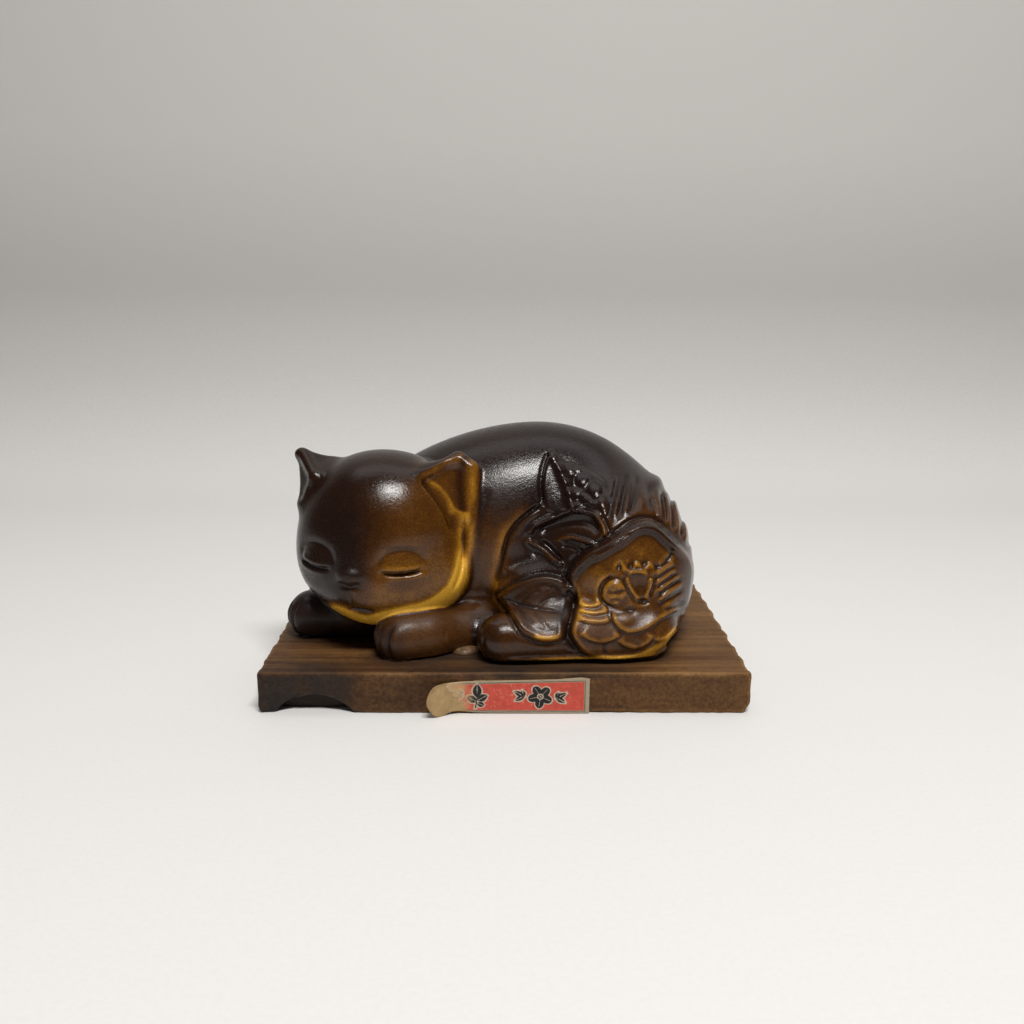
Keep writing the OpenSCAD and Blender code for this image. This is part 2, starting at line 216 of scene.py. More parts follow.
# ---------------------------------------------------------------- polylines in view coordinates
def curve(pts,n=8):
    P=np.array(pts,float); Q=np.vstack([2*P[0]-P[1],P,2*P[-1]-P[-2]]); out=[]
    for i in range(1,len(Q)-2):
        a,b,c,d=Q[i-1:i+3]
        for t in np.arange(n)/n: out.append(0.5*(2*b+(c-a)*t+(2*a-5*b+4*c-d)*t*t+(3*b-a-3*c+d)*t**3))
    out.append(P[-1]); return np.array(out,f32)
def line(U,W,pts,n=6,closed=False):
    """distance, signed side (+ right of travel, view v down), and 0..1 position along a smooth line"""
    if closed: pts=list(pts)+[pts[0]]
    C=curve(pts,n); D=C[1:]-C[:-1]; L=np.hypot(D[:,0],D[:,1]); acc=np.concatenate([[0],np.cumsum(L)]); tot=acc[-1]
    lo=C.min(0)-40; hi=C.max(0)+40
    m=(U>lo[0])&(U<hi[0])&(W>lo[1])&(W<hi[1])
    dist=np.full(U.shape,99.,f32); side=np.ones(U.shape,f32); tt=np.zeros(U.shape,f32)
    u=U[m]; w=W[m]; bd=np.full(u.shape,1e9,f32); bs=np.ones(u.shape,f32); bt=np.zeros(u.shape,f32)
    for i in range(len(D)):
        if L[i]<1e-6: continue
        x=u-C[i,0]; y=w-C[i,1]; t=np.clip((x*D[i,0]+y*D[i,1])/(L[i]*L[i]),0,1)
        d=(x-t*D[i,0])**2+(y-t*D[i,1])**2; k=d<bd
        bd=np.where(k,d,bd); cr=D[i,0]*y-D[i,1]*x; bs=np.where(k,np.sign(cr),bs); bt=np.where(k,(acc[i]+t*L[i])/tot,bt)
    dist[m]=np.sqrt(bd); side[m]=bs; tt[m]=bt
    return dist,side,tt
def inside(U,W,pts,n=6):
    """signed distance to a closed smooth outline, negative inside"""
    C=curve(list(pts)+[pts[0]],n); d,_,_=line(U,W,list(pts),n,closed=True)
    ins=np.zeros(U.shape,bool); a=C[:-1]; b=C[1:]
    lo=C.min(0); hi=C.max(0); m=(U>=lo[0])&(U<=hi[0])&(W>=lo[1])&(W<=hi[1]); u=U[m]; w=W[m]; k=np.zeros(u.shape,bool)
    for i in range(len(a)):
        c=(a[i,1]>w)!=(b[i,1]>w)
        x=a[i,0]+(w-a[i,1])*(b[i,0]-a[i,0])/(b[i,1]-a[i,1]+1e-9)
        k^=c&(u<x)
    ins[m]=k
    return np.where(ins,-d,d)
def groove(U,W,pts,w,ends=(0.06,0.06)):
    d,s,t=line(U,W,pts); e=sst(0,max(ends[0],1e-3),t)*sst(0,max(ends[1],1e-3),1-t)
    return gau(d,w)*e
# ---------------------------------------------------------------- masses
def trunk(p):
    d=ell(p,(9,9,35.3),(35,22,29.6))
    d=smin(d,ell(p,(-14,7,31),(29,20,25)),14)
    d=smin(d,ell(p,(30,-3,28),(20.3,24,24)),9)
    d=smin(d,ell(p,(29,16,26),(20,16,22)),8)
    d=smin(d,ell(p,(11,-16,22.5),(13.5,8.5,9.5)),5)
    d=smin(d,cone(p,(-0.6,-26.1,15.6),(34,-21.8,16.8),6.3,8.0),3.2)
    return d
TAIL=[(44.5,5,17.2),(44.0,17,16.6),(37.5,26.0,16.0),(26,30.0,15.6),(13,30.6,15.3),(1,29.2,15.0)]
def tail(p):
    d=None
    for i in range(5):
        c=cone(p,TAIL[i],TAIL[i+1],5.0-0.28*i,4.72-0.28*i); d=c if d is None else smin(d,c,0.6)
    return d
def skull(p):
    d=ell(p,HC,(21.7,18.3,20.5),HR)
    d=smin(d,ell(p,hp(-0.8,-5.5,-8.0),(16.5,14,11.5),HR),8)
    d=smin(d,ell(p,(-29.5,-6.5,48.6),(15.0,11.5,9.3)),6)
    d=smin(d,ell(p,(-30.5,-16.5,24.5),(9.0,6.5,6.2)),8)
    d=smin(d,ell(p,(-18.6,-13.2,27.6),(8.2,7.5,7.0)),9)
    return d
def tri(p,a,b,c):
    """distance to a flat triangle"""
    a,b,c=[np.array(k,f32) for k in (a,b,c)]; n=np.cross(b-a,c-a); n/=np.linalg.norm(n); out=None; ins=None
    for i,j in ((a,b),(b,c),(c,a)):
        e=j-i; q=p-i; t=np.clip((q@e)/(e@e),0,1); d=((q-t[...,None]*e)**2).sum(-1); out=d if out is None else np.minimum(out,d)
        k=(q@np.cross(n,e))>=0; ins=k if ins is None else ins&k
    return np.where(ins,np.abs((p-a)@n),np.sqrt(out))
EAR_R=[(-20.8,-13.3,53.4),(-12.0,-7.9,57.0),(-9.0,-8.9,55.2),(-10.2,-12.2,43.6)]
EAR_L=[(-51.4,-9.4,47.0),(-52.4,-6.0,58.2),(-48.9,-11.0,53.6),(-45.6,-4.0,55.6)]
def ears(p):
    a,b,c,d=EAR_R
    e=smin(tri(p,a,b,d),tri(p,b,c,d),0.8)-2.45
    i=lambda k,m,w:tuple(np.array(k)*(1-w)+np.array(m)*w)
    m=tuple((np.array(a)+np.array(b)+np.array(c)+np.array(d))/4); f=np.array((-0.35,-1.0,-0.05)); f=f/np.linalg.norm(f)*3.65
    q=[tuple(np.array(i(k,m,0.34))+f) for k in (a,b,c,d)]; q[3]=tuple(np.array(q[3])+np.array((0.2,-0.9,-3.4)))
    hl=smin(tri(p,q[0],q[1],q[3]),tri(p,q[1],q[2],q[3]),3.0)-1.15
    a,b,c,d=EAR_L
    g=smin(tri(p,a,b,c),tri(p,b,c,d),1.5)-1.6
    m=tuple((np.array(a)+np.array(b)+np.array(c))/3); f=np.array((-0.85,-0.5,0.0)); f=f/np.linalg.norm(f)*2.6
    q=[tuple(np.array(i(k,m,0.42))+f) for k in (a,b,c)]
    h2=tri(p,q[0],q[1],q[2])-1.35
    return e,hl,g,h2
def legs(p):
    d=cone(p,(-24.5,-23.0,15.1),(-6,-14,14.2),5.7,6.4)
    d=smin(d,cone(p,(-27.0,-24.0,15.1),(-20,-21.5,15.0),5.4,5.9),4)
    l=cone(p,(-50.8,-8.4,15.9),(-30,-7.0,16.2),6.4,6.8)
    return smin(d,l,6)
def head(p):
    h=skull(p)
    q=(p-HC)@FR
    # bridge of the nose, muzzle, chin
    h=smin(h,cone(q,(-1.0,-15.8,3.0),(-1.0,-18.4,-4.6),2.0,2.6),4.5)
    h=smin(h,ell(q,(0.2,-15.2,-9.6),(6.6,4.6,4.6)),5)
    e,hl,g,h2=ears(p)
    h=smin(h,e,3.6); h=smin(h,g,4.5); h=smax(h,-hl,3.0); h=smax(h,-h2,2.6)
    return h
def body(p):
    d=trunk(p); d=smin(d,tail(p),1.3); d=smin(d,legs(p),4); return d
def parts(p): return body(p),head(p)
def fig(p):
    b,h=parts(p); return np.maximum(smin(b,h,1.6),T-p[...,2])
# ---------------------------------------------------------------- relief, height in mm
def face(p):
    """eyes, nose and mouth in the face's own frame"""
    q=(p-HC)@FR; r=np.hypot(q[...,0],q[...,1]); az=np.degrees(np.arctan2(q[...,0],-q[...,1])); z=q[...,2]
    front=sst(75,60,np.abs(az))
    h=np.zeros(r.shape,f32)
    for a0,sg in ((34.0,1),(-33.5,-1)):
        s=(az-a0)*math.pi/180*20.5*sg; zz=z+4.1-0.020*np.clip(s,-6,6)**2
        # socket, with a soft crease above the lid
        e=np.sqrt((s/6.8)**2+((zz-1.6)/5.2)**2); h-=0.70*gau(np.maximum(e-0.1,0),0.85)
        l=np.sqrt((s/5.5)**2+((zz-1.0)/4.2)**2); up=sst(-1.0,1.2,zz)
        h+=0.80*np.clip(1-l*l,0,1)**1.2*up
        h-=0.22*gau(l-1.08,0.17)*sst(0.2,2.2,zz)
        # the lid's lower edge stands over the slit
        m=sst(5.8,3.4,np.abs(s+0.3))
        h+=0.28*gau(zz-0.75,0.7)*m
        h-=(0.95 if sg>0 else 0.55)*gau(zz+0.50,0.48)*m
        h+=0.28*gau(zz+1.65,0.60)*sst(6.6,3.6,np.abs(s-0.7))*sst(-5.0,-1.0,s)
        h-=0.18*gau(zz+4.2,1.3)*sst(5.5,2.0,np.abs(s))
    # nose: a small soft pad, undercut below
    s=(az+2.0)*math.pi/180*21
    n=np.sqrt((s/3.1)**2+((z+4.7)/2.1)**2); h+=0.70*sst(1.40,0.35,n)
    for sg in (1,-1): h-=0.45*gau(np.hypot((s-sg*1.5)/1.0,(z+6.4)/0.62),1.0)
    h-=0.70*gau(np.hypot(s/2.6,(z+7.3)/0.9),1.0)
    # philtrum and mouth
    h-=0.26*gau(s+0.15*(z+7.5)*0.6,0.5)*sst(-7.6,-9.0,z)*sst(-14.2,-12.6,z)
    t=s-1.9; arch=z+13.3+0.06*t*t
    h-=0.42*gau(arch,0.50)*sst(4.2,2.7,np.abs(t-0.1))
    h+=0.18*gau(arch+1.25,0.85)*sst(3.4,1.8,np.abs(t-0.1))
    h+=0.30*gau(np.hypot((s-3.2)/2.4,(z+11.2)/2.0),1.0)+0.30*gau(np.hypot((s+3.0)/2.2,(z+11.2)/2.0),1.0)
    return h*front
# outlines in the view (u, v)
HAUNCH=[(545,503),(531,514),(520,524),(511,536),(507,548),(504,562),(500,578)]
LEAF1=[(499,596),(510,588),(521,582.5),(533,578),(545,576),(557,578),(566,583),(573,594),(570,608),(567,622),(565,632),(560,639),(548,641),(535,639),(522,631),(511,613)]
LEAF2=[(528,537),(533,528),(541,524),(550,519.5),(560,515),(572,512),(583,513),(595,517),(602,527),(607,538),(596,549),(584,557),(574,565),(565,567),(556,562),(545,552),(534,545)]
LEAF3=[(550,449),(556,455),(563,461),(576,466),(590,471.5),(602,479),(610,490),(612,503),(607,516),(600,516),(592,508),(583,506),(571,511),(560,513),(552,513),(545,507),(542.5,494),(542,481),(544,466)]
PEONY=[(568,577),(574,563),(583,554.5),(591,549),(606,541.5),(620,532),(631,524),(642,520),(653,521),(661,527),(669,535),(679,545),(690,557),(694,570),(693,585),(690,603),(684,620),(673,635),(660,646),(645,655),(625,660),(606,660),(588,655),(577,645),(571,632),(575,616),(577,600),(571,588)]
RIM=[(569,582),(574,570),(582,563),(592,556),(606,549.5),(621,540.5),(633,531),(643,527.5),(653,528.5),(661,533.5),(669,541),(678,549),(688,559)]
def ridge(U,W,pts,w,k,e0=.12,e1=.12):
    d,s,t=line(U,W,pts); return k*gau(d,w)*sst(0,e0,t)*sst(0,e1,1-t)
def step(U,W,pts,k,wl,wr,e0=.12,e1=.12):
    """a lip: full height at the line on its right-hand side, dying away over wr; drops off over wl on the left"""
    d,s,t=line(U,W,pts); sd=d*s; return k*sst(-wl,wl*0.4,sd)*np.exp(-(np.clip(sd,0,None)/wr)**1.5)*sst(0,e0,t)*sst(0,e1,1-t)
def carving(U,W):
    """carving on the near side as seen from the front"""
    h=np.zeros(U.shape,f32)
    # haunch: a rolled edge against the belly
    h+=step(U,W,HAUNCH[::-1],0.9,2.6,13,.12,.05)+ridge(U,W,[(541,509),(530,517.5),(519,529),(514,538)],2.4,.35,.3,.3)
    h-=ridge(U,W,[(542,504),(529,512.5),(517,523),(508,536),(504,549),(501,563)],2.4,.75,.1,.2)
    h+=0.70*gau(np.hypot((U-523)/15,(W-546)/13),1.0)
    # fur and petal strokes on the rump
    for (pts,w,k) in (([(618,474),(613,500),(607,524)],2.4,.40),([(628,472),(623,498),(618,520)],2.2,.45),([(638,474),(634,498),(631,515)],2.2,.45),
                      ([(661,489),(664,508),(665,524)],2.2,.55),([(669,492),(673,512),(674,532)],2.2,.55),([(677,500),(682,520),(682,540)],2.2,.50),([(684,515),(689,533),(689,549)],2.0,.45)):
        h-=k*groove(U,W,pts,w,(0.25,0.2))
    for (pts,w,k) in (([(623,474),(618,498),(612,522)],2.4,.30),([(633,474),(628,498),(624,518)],2.4,.30),([(657,484),(659,504),(660,522)],2.4,.45),([(665,489),(669,508),(670,527)],2.4,.45),([(673,496),(678,515),(678,535)],2.4,.4),([(681,507),(686,526),(686,544)],2.2,.4)):
        h+=k*groove(U,W,pts,w,(0.25,0.2))
    for (u0,v0,a,b,k) in ((659,479,12,13,1.15),(648,492,6,9,-.45),(651,504,5,7,-.45),(643,496,6,14,.45),(655,498,5,10,.35),(675,505,9,16,0.5),(685,528,8,16,0.4)):
        e=np.sqrt(((U-u0)/a)**2+((W-v0)/b)**2); h+=k*gau(e,0.75)
    # leaf 3: midrib from the tip, near half falling to a groove, far half in lobes
    sd=inside(U,W,LEAF3); ins=sst(2.0,-3.0,sd)*sst(612,597,U)*sst(446,456,W)
    h+=0.95*ins
    h-=0.65*ridge(U,W,[(549,452),(544.5,464),(541.5,480),(541.5,494),(544,505)],2.2,1.0,.08,.1)
    d,s,t=line(U,W,[(551,453),(556,463),(562,476),(567,488),(570,500),(573,511)])
    h+=(0.85*gau(d,4.2)-0.42*sst(1,9,-d*s)*gau(d,14)*(s<0))*sst(0,.08,t)*sst(0,.08,1-t)*ins
    for (u0,v0,a,b,an,k) in ((566,470,11,5.5,32,.62),(567,480,6,6,60,.45),(582,480,6.5,6.5,50,.60),(574,493,9.5,5,8,.70),(577,508,9,4.8,12,.60),(594.5,489.5,6.5,8.5,-20,.60),(586,499,7,4.5,30,.45),(603,502,4.5,7.5,-20,.55),(615,502,6,5,0,.25)):
        c,q=math.cos(math.radians(an)),math.sin(math.radians(an)); x=(U-u0)*c+(W-v0)*q; y=-(U-u0)*q+(W-v0)*c
        e=np.sqrt((x/a)**2+(y/b)**2); h+=0.62*k*np.clip(1-e*e*0.8,0,1)**1.2-0.12*k*gau(e-1.25,0.25)
    # leaf 2: folded upper edge, hollow under it, two veins meeting at the tip
    h+=ridge(U,W,[(527,538),(532.5,527.5),(540,523),(550,518.5),(560,514.5),(572,511.5),(584,511.5),(594,515),(602,526),(607,538)],3.0,.95,.08,.06)
    h-=ridge(U,W,[(537,534),(545,529),(556,525),(570,522),(584,522),(594,526),(600,534)],4.2,.75,.15,.1)
    h-=ridge(U,W,[(592,505),(600,512),(606,524),(610,536)],2.3,.65,.2,.1)
    h+=ridge(U,W,[(556,541),(563,538),(572,537.5),(585,541),(598,546)],2.3,.75,.25,.1)
    h-=ridge(U,W,[(560,546),(568,546),(577,549),(584,554)],3.2,.55,.2,.15)
    h+=ridge(U,W,[(526,538),(534,544),(545,551),(553,559),(564,565)],2.5,.65,.12,.12)
    h-=ridge(U,W,[(540,541),(548,546),(556,554),(563,561)],2.4,.65,.15,.15)
    h-=ridge(U,W,[(530,532),(524,540),(528,548),(538,556)],2.0,.25,.2,.2)
    # leaf 1: cupped, rolled upper edge, midrib and folds, lip below
    sd=inside(U,W,LEAF1); ins=sst(2.4,-3.2,sd); h+=ins*0.95-0.50*ins*sst(-3,-11,sd)
    h-=0.45*gau(np.abs(sd-2.8),2.4)*sst(1.0,2.6,sd)
    h+=ridge(U,W,[(503,592),(512,586.5),(524,581.5),(534,578.5),(545,577),(556,578.5),(565,583),(571,592)],2.6,.55,.1,.1)
    for (pts,w,k) in (([(502,597),(516,603),(533,608),(550,611),(562,612)],1.9,.36),([(520,604),(530,595),(541,590)],1.9,.20),([(536,609),(546,600),(557,596)],1.9,.20),([(516,603),(524,614),(534,624)],1.9,.20),([(533,609),(541,619),(549,630)],1.9,.20)):
        h+=(-k if w==1.9 else k)*groove(U,W,pts,w,(0.1,0.15))*ins
    h+=ridge(U,W,[(533,636),(545,638.5),(556,637),(563,631)],2.4,.26,.2,.2)
    h-=ridge(U,W,[(567,588),(569,602),(565,616),(566,630),(570,642),(580,651)],4.2,.85,.12,.2)
    # peony
    sd=inside(U,W,PEONY); ins=sst(2.0,-3.0,sd); h+=1.15*ins
    h-=0.62*gau(np.abs(sd-3.0),2.6)*sst(1.2,3.0,sd)*sst(672,655,U)*sst(655,640,W)
    # two-fold roll of the upper petal
    h+=ridge(U,W,RIM,4.6,1.35,.07,.16)-ridge(U,W,[(579,568),(588,559.5),(599,553),(613,545),(625,536.5),(634,531)],1.3,.38,.15,.15)
    # upper petal, hollow, scalloped below
    e=np.sqrt(((U-641)/27.0)**2+((W-553)/17.0)**2); h-=0.75*gau(np.maximum(e-0.2,0),0.7)*ins
    h-=ridge(U,W,[(672,548),(670,556),(664,562)],2.2,.45,.2,.2)
    for (u0,v0,a,b) in ((631,565.5,3.0,4.2),(644,563.5,3.0,4.2),(619,566,2.6,3.6),(656,566,2.6,3.6)): h-=0.55*gau(np.hypot((U-u0)/a,(W-v0)/b),1.0)
    h+=ridge(U,W,[(613,571),(619,562.5),(625,569),(631,570.5),(637,564),(644,569.5),(650,565),(657,571)],1.9,.30,.15,.15)
    # left petal, smooth, falling to the heart
    e=np.sqrt(((U-594)/15)**2+((W-577)/14)**2); h+=0.35*np.clip(1-e*e,0,1)
    # heart left: a folded bud
    e=np.sqrt(((U-614)/13)**2+((W-592)/13.5)**2); h+=0.85*np.clip(1-e*e,0,1)**0.7-0.42*gau(e-1.10,0.14)*sst(620,606,U)
    h-=ridge(U,W,[(606,590),(612,593),(620,592),(626,589)],1.7,.45,.2,.2); h+=ridge(U,W,[(607,586),(612,583.5),(618,586),(623,590)],1.8,.35,.2,.2)
    h-=ridge(U,W,[(601,596),(602,588),(608,580.5),(614,577)],1.8,.5,.15,.2)
    h-=ridge(U,W,[(608,603),(616,600),(623,603)],1.6,.25,.2,.2)
    # heart right: a funnel closing to a pit
    h+=ridge(U,W,[(627,574),(634,572),(641,572),(648,574)],2.0,.70,.15,.15)
    h+=ridge(U,W,[(626,577),(629,586),(635,595),(640,601)],2.2,.45,.1,.2)+ridge(U,W,[(651,578),(650,587),(647,595),(645,600)],2.2,.45,.1,.2)
    h-=0.75*gau(np.hypot((U-639)/7.5,(W-584)/10),1.0); h-=0.8*gau(np.hypot((U-643)/5,(W-601.5)/2.6),1.0)
    h-=ridge(U,W,[(653.5,573),(655,580),(652,590),(648,599)],1.8,.5,.15,.2); h-=ridge(U,W,[(624,575),(625,584),(631,595),(636,603)],1.7,.4,.15,.2)
    # strokes up to the right
    for (pts,w,k) in (([(656,569),(663,564.5),(671,559)],2.0,.45),([(656,579),(665,573),(676,565)],2.0,.50),([(656,588),(666,581),(678,572)],2.1,.55),([(658,597),(667,588),(682,577)],2.2,.60),([(657,606),(669,598),(685,588)],2.2,.60),([(664,611),(675,606),(687,600)],2.0,.45)):
        h-=0.68*k*groove(U,W,pts,w*1.08,(0.15,0.25))
    for (pts,w,k) in (([(656,574),(664,569),(674,562)],2.0,.30),([(656,584),(665,577),(677,568.5)],2.0,.30),([(657,592.5),(667,584.5),(681,574.5)],2.0,.35),([(658,602),(668,593),(684,582.5)],2.0,.35)):
        h+=k*groove(U,W,pts,w,(0.15,0.25))
    # lower petals, each a cupped lobe with a lit lip
    for (pts,k,wl,wr) in (([(682,607),(670,613),(660,619),(650,626),(640,630.5),(629,632),(619,627),(613,618),(612,609)],.85,2.4,9),
                          ([(602,603),(594,606.5),(585,606),(577,603)],.60,2.2,6),([(609,611),(598,613.5),(588,613),(578,610)],.65,2.2,6),([(612,620),(600,622.5),(588,621.5),(576,618)],.65,2.2,6),
                          ([(622,634),(612,640),(600,642),(588,639),(578,632)],.75,2.4,8),([(655,634),(648,643),(636,648),(624,645),(616,639)],.70,2.4,8),([(690,612),(684,624),(674,634),(662,640),(652,640)],.55,2.4,8)):
        h+=step(U,W,pts,k,wl,wr,.12,.12)
    h-=0.55*gau(np.hypot((U-630)/5.5,(W-610)/3.2),1.0); h+=0.45*gau(np.hypot((U-627)/8,(W-620)/5.5),1.0)
    h-=ridge(U,W,[(636,640),(639,646),(637,653)],1.7,.3,.2,.2); h-=ridge(U,W,[(606,643),(604,649),(606,656)],1.7,.3,.2,.2)
    return h
def jaw(U,W):
    """groove down the right side of the face, from the ear's base to the jaw"""
    h=np.zeros(U.shape,f32)
    d,s,t=line(U,W,[(463,508),(463.6,522),(463.6,544),(462,564),(458,580),(451,594)]); h-=0.6*gau(d,1.9)*sst(0,.35,t)*sst(0,.2,1-t)
    return h
def collar(U,W):
    d,s,t=line(U,W,[(479,484),(476.5,496),(474,508),(472,522),(470.5,540),(468.5,560),(464,580),(456,598)]); sd=d*-s
    return 0.70*gau(d,4.6)*sst(0,.25,t)*sst(0,.2,1-t)-0.22*gau(sd-9.0,5.0)*sst(0,.1,t)*sst(0,.2,1-t)*sst(20,10,d)
TOES=[((-26.0,-23.6,15.2),(-0.80,-0.60),6.7,(-2.4,0.2,2.7)),((-51.2,-8.6,15.8),(-0.93,-0.37),6.6,(-2.3,0.1,2.4)),((-0.8,-26.2,15.6),(-0.97,-0.24),6.3,(-2.1,0.4,2.7))]
def toes(p):
    h=np.zeros(p.shape[:-1],f32)
    for i,(c,t,r,offs) in enumerate(TOES):
        q=p-np.array(c,f32); f=q[...,0]*t[0]+q[...,1]*t[1]; l=-q[...,0]*t[1]+q[...,1]*t[0]; z=q[...,2]
        m=sst(0.15*r,0.7*r,f)*sst(0.75*r,0.2*r,z)*(np.linalg.norm(q,axis=-1)<r*2.2)*(0.9 if i<2 else 0.35)
        for o in offs: h-=0.75*gau(l-o,0.55)*m
        for o in (offs[0]-1.5,(offs[0]+offs[1])/2,(offs[1]+offs[2])/2,offs[2]+1.5): h+=0.3*gau(l-o,1.0)*m
    return h
def back(p):
    """far side: haunch edge and a few fur strokes"""
    x,y,z=p[...,0],p[...,1],p[...,2]; h=np.zeros(x.shape,f32); m=sst(12,18,y)
    r=np.hypot((x-31)/1.0,(z-24)*0.92); a=np.degrees(np.arctan2(z-24,-(x-31)))
    k=sst(-25,0,a)*sst(135,105,a)
    h+=(0.9*sst(25.5,23.6,r)*np.exp(-np.clip(24-r,0,99)/7)-0.6*gau(r-26.0,1.1))*k*m
    for i in range(6):
        a0=24+15*i; rr=17.5-0.5*i; u=(a-a0)-0.4*(r-rr)*3; h-=0.32*gau(u*math.pi/180*r,0.6)*sst(rr-4,rr-1.5,r)*sst(rr+4.5,rr+2.5,r)*m
    return h
def relief(p,U,W,b,h):
    """b and h: distances to body and head, to say which surface a point lies on"""
    wh=sst(-0.8,0.8,b-h); z=p[...,2]
    r=face(p)*wh
    r=r+jaw(U,W)*wh
    near=sst(16,4,p[...,1])
    r=r+(carving(U,W)+collar(U,W))*(1-wh)*near
    r=r+toes(p)*(1-wh)+back(p)*(1-wh)
    r=r+0.75*gau(z-(T+1.05),0.75)*(1-wh)*near*sst(-4,5,p[...,0])
    return r*sst(T-0.2,T+1.2,z)

# ---------------------------------------------------------------- meshing
def chunks(f,P,n=120000):
    return np.concatenate([f(P[i:i+n]) for i in range(0,len(P),n)]) if len(P) else np.zeros(0,f32)
def net(base,full,lo,hi,vox,slack):
    """surface net of full(p)=0 inside the box; base(p) is the cheap shape within slack of full"""
    lo=np.array(lo,float); n=np.ceil((np.array(hi)-lo)/vox/8).astype(int)*8
    G=[lo[k]+vox*np.arange(n[k]+1) for k in range(3)]
    c=[g[::8] for g in G]
    A=np.stack(np.meshgrid(*c,indexing='ij'),-1).astype(f32); s0=A.shape[:3]
    F0=chunks(base,A.reshape(-1,3)).reshape(s0)
    V=np.empty(tuple(n+1),f32)
    # coarse sign everywhere, nearest coarse sample
    ix=[np.minimum((np.arange(n[k]+1)+4)//8,s0[k]-1) for k in range(3)]
    V[:]=np.sign(F0[np.ix_(*ix)])*9.0
    near=np.abs(F0)<8*vox*1.0+slack+0.5
    blk=np.zeros(tuple(np.array(s0)-1),bool)
    for a in (0,1):
        for b in (0,1):
            for d in (0,1): blk|=near[a:s0[0]-1+a,b:s0[1]-1+b,d:s0[2]-1+d]
    B=np.argwhere(blk)*8
    o=np.stack(np.meshgrid(*[np.arange(0,9,2)]*3,indexing='ij'),-1).reshape(-1,3)
    I=(B[:,None]+o[None]).reshape(-1,3)
    key=(I[:,0]*(n[1]+1)+I[:,1])*(n[2]+1)+I[:,2]; key=np.unique(key)
    I=np.stack([key//((n[1]+1)*(n[2]+1)),key//(n[2]+1)%(n[1]+1),key%(n[2]+1)],-1)
    P=(lo+I*vox).astype(f32); f=chunks(base,P); k=np.abs(f)<slack+3*vox; n1=int(k.sum())
    f=np.where(k,0,np.sign(f)*9).astype(f32); f[k]=chunks(full,P[k]); V[tuple(I.T)]=f
    W=V[::2,::2,::2].copy(); m=np.abs(W)<2*vox*1.15+0.15
    H=np.array(W.shape); blk=np.zeros(tuple(H-1),bool)
    for a in (0,1):
        for b in (0,1):
            for d in (0,1): blk|=m[a:H[0]-1+a,b:H[1]-1+b,d:H[2]-1+d]
    V=np.repeat(np.repeat(np.repeat(np.where(m,W,np.sign(W)*9),2,0),2,1),2,2)[:n[0]+1,:n[1]+1,:n[2]+1].copy()
    B=np.argwhere(blk)*2
    key=((B[:,0]*(n[1]+1)+B[:,1])*(n[2]+1)+B[:,2])[:,None]+np.array([(a*(n[1]+1)+b)*(n[2]+1)+d for a in (0,1,2) for b in (0,1,2) for d in (0,1,2)])[None]
    key=np.unique(key.reshape(-1))
    I=np.stack([key//((n[1]+1)*(n[2]+1)),key//(n[2]+1)%(n[1]+1),key%(n[2]+1)],-1)
    V=V.reshape(-1); V[key]=chunks(full,(lo+I*vox).astype(f32)); V=V.reshape(tuple(n+1))
    return V,lo,vox,n1,key.size
def surface(V,lo,vox):
    S=V<0; n=np.array(V.shape)
    cnt=np.zeros(tuple(n-1),np.int8)
    for a in (0,1):
        for b in (0,1):
            for d in (0,1): cnt+=S[a:n[0]-1+a,b:n[1]-1+b,d:n[2]-1+d]
    C=np.argwhere((cnt>0)&(cnt<8)); idn=np.full(tuple(n-1),-1,np.int32); idn[tuple(C.T)]=np.arange(len(C))
    acc=np.zeros((len(C),3)); w=np.zeros(len(C))
    cor=[(a,b,d) for a in (0,1) for b in (0,1) for d in (0,1)]
    for i,p in enumerate(cor):
        for ax in range(3):
            if p[ax]: continue
            q=list(p); q[ax]=1
            a=V[C[:,0]+p[0],C[:,1]+p[1],C[:,2]+p[2]]; b=V[C[:,0]+q[0],C[:,1]+q[1],C[:,2]+q[2]]
            m=(a<0)!=(b<0); t=np.where(m,a/(a-b+1e-12),0)
            x=np.array(p,float)[None]+0*acc; x[:,ax]+=t; acc+=x*m[:,None]; w+=m
    X=lo+vox*(C+acc/w[:,None])
    Q=[]
    for ax in range(3):
        sl=[slice(1,-1)]*3; sl[ax]=slice(0,-1)
        s2=list(sl); s2[ax]=slice(1,None)
        A=S[tuple(sl)]; Bq=S[tuple(s2)]
        m=A!=Bq; J=np.argwhere(m); 
        base_=J.copy(); 
        for k in range(3):
            if k!=ax: base_[:,k]+=1
        u,v=[k for k in range(3) if k!=ax]
        c=[]
        for du,dv in ((1,1),(0,1),(0,0),(1,0)):
            t=base_.copy(); t[:,u]-=du; t[:,v]-=dv; c.append(idn[tuple(t.T)])
        q=np.stack(c,-1); flip=A[tuple(J.T)]
        if ax==1: flip=~flip
        q[~flip]=q[~flip][:,::-1]; Q.append(q)
    Q=np.concatenate(Q); Q=Q[(Q>=0).all(1)]
    return X,Q
def vnormals(X,Q):
    a=X[Q[:,2]]-X[Q[:,0]]; b=X[Q[:,3]]-X[Q[:,1]]; c=np.cross(a,b); N=np.zeros_like(X)
    for k in range(4): 
        for j in range(3): N[:,j]+=np.bincount(Q[:,k],c[:,j],len(X))
    return N/(np.linalg.norm(N,axis=1,keepdims=True)+1e-12)

# ---------------------------------------------------------------- the cat
def full(P):
    b, h = parts(P); d = smin(b, h, 1.6); u, v = seen(P)
    return np.maximum(d - relief(P, u, v, b, h), T - P[..., 2])

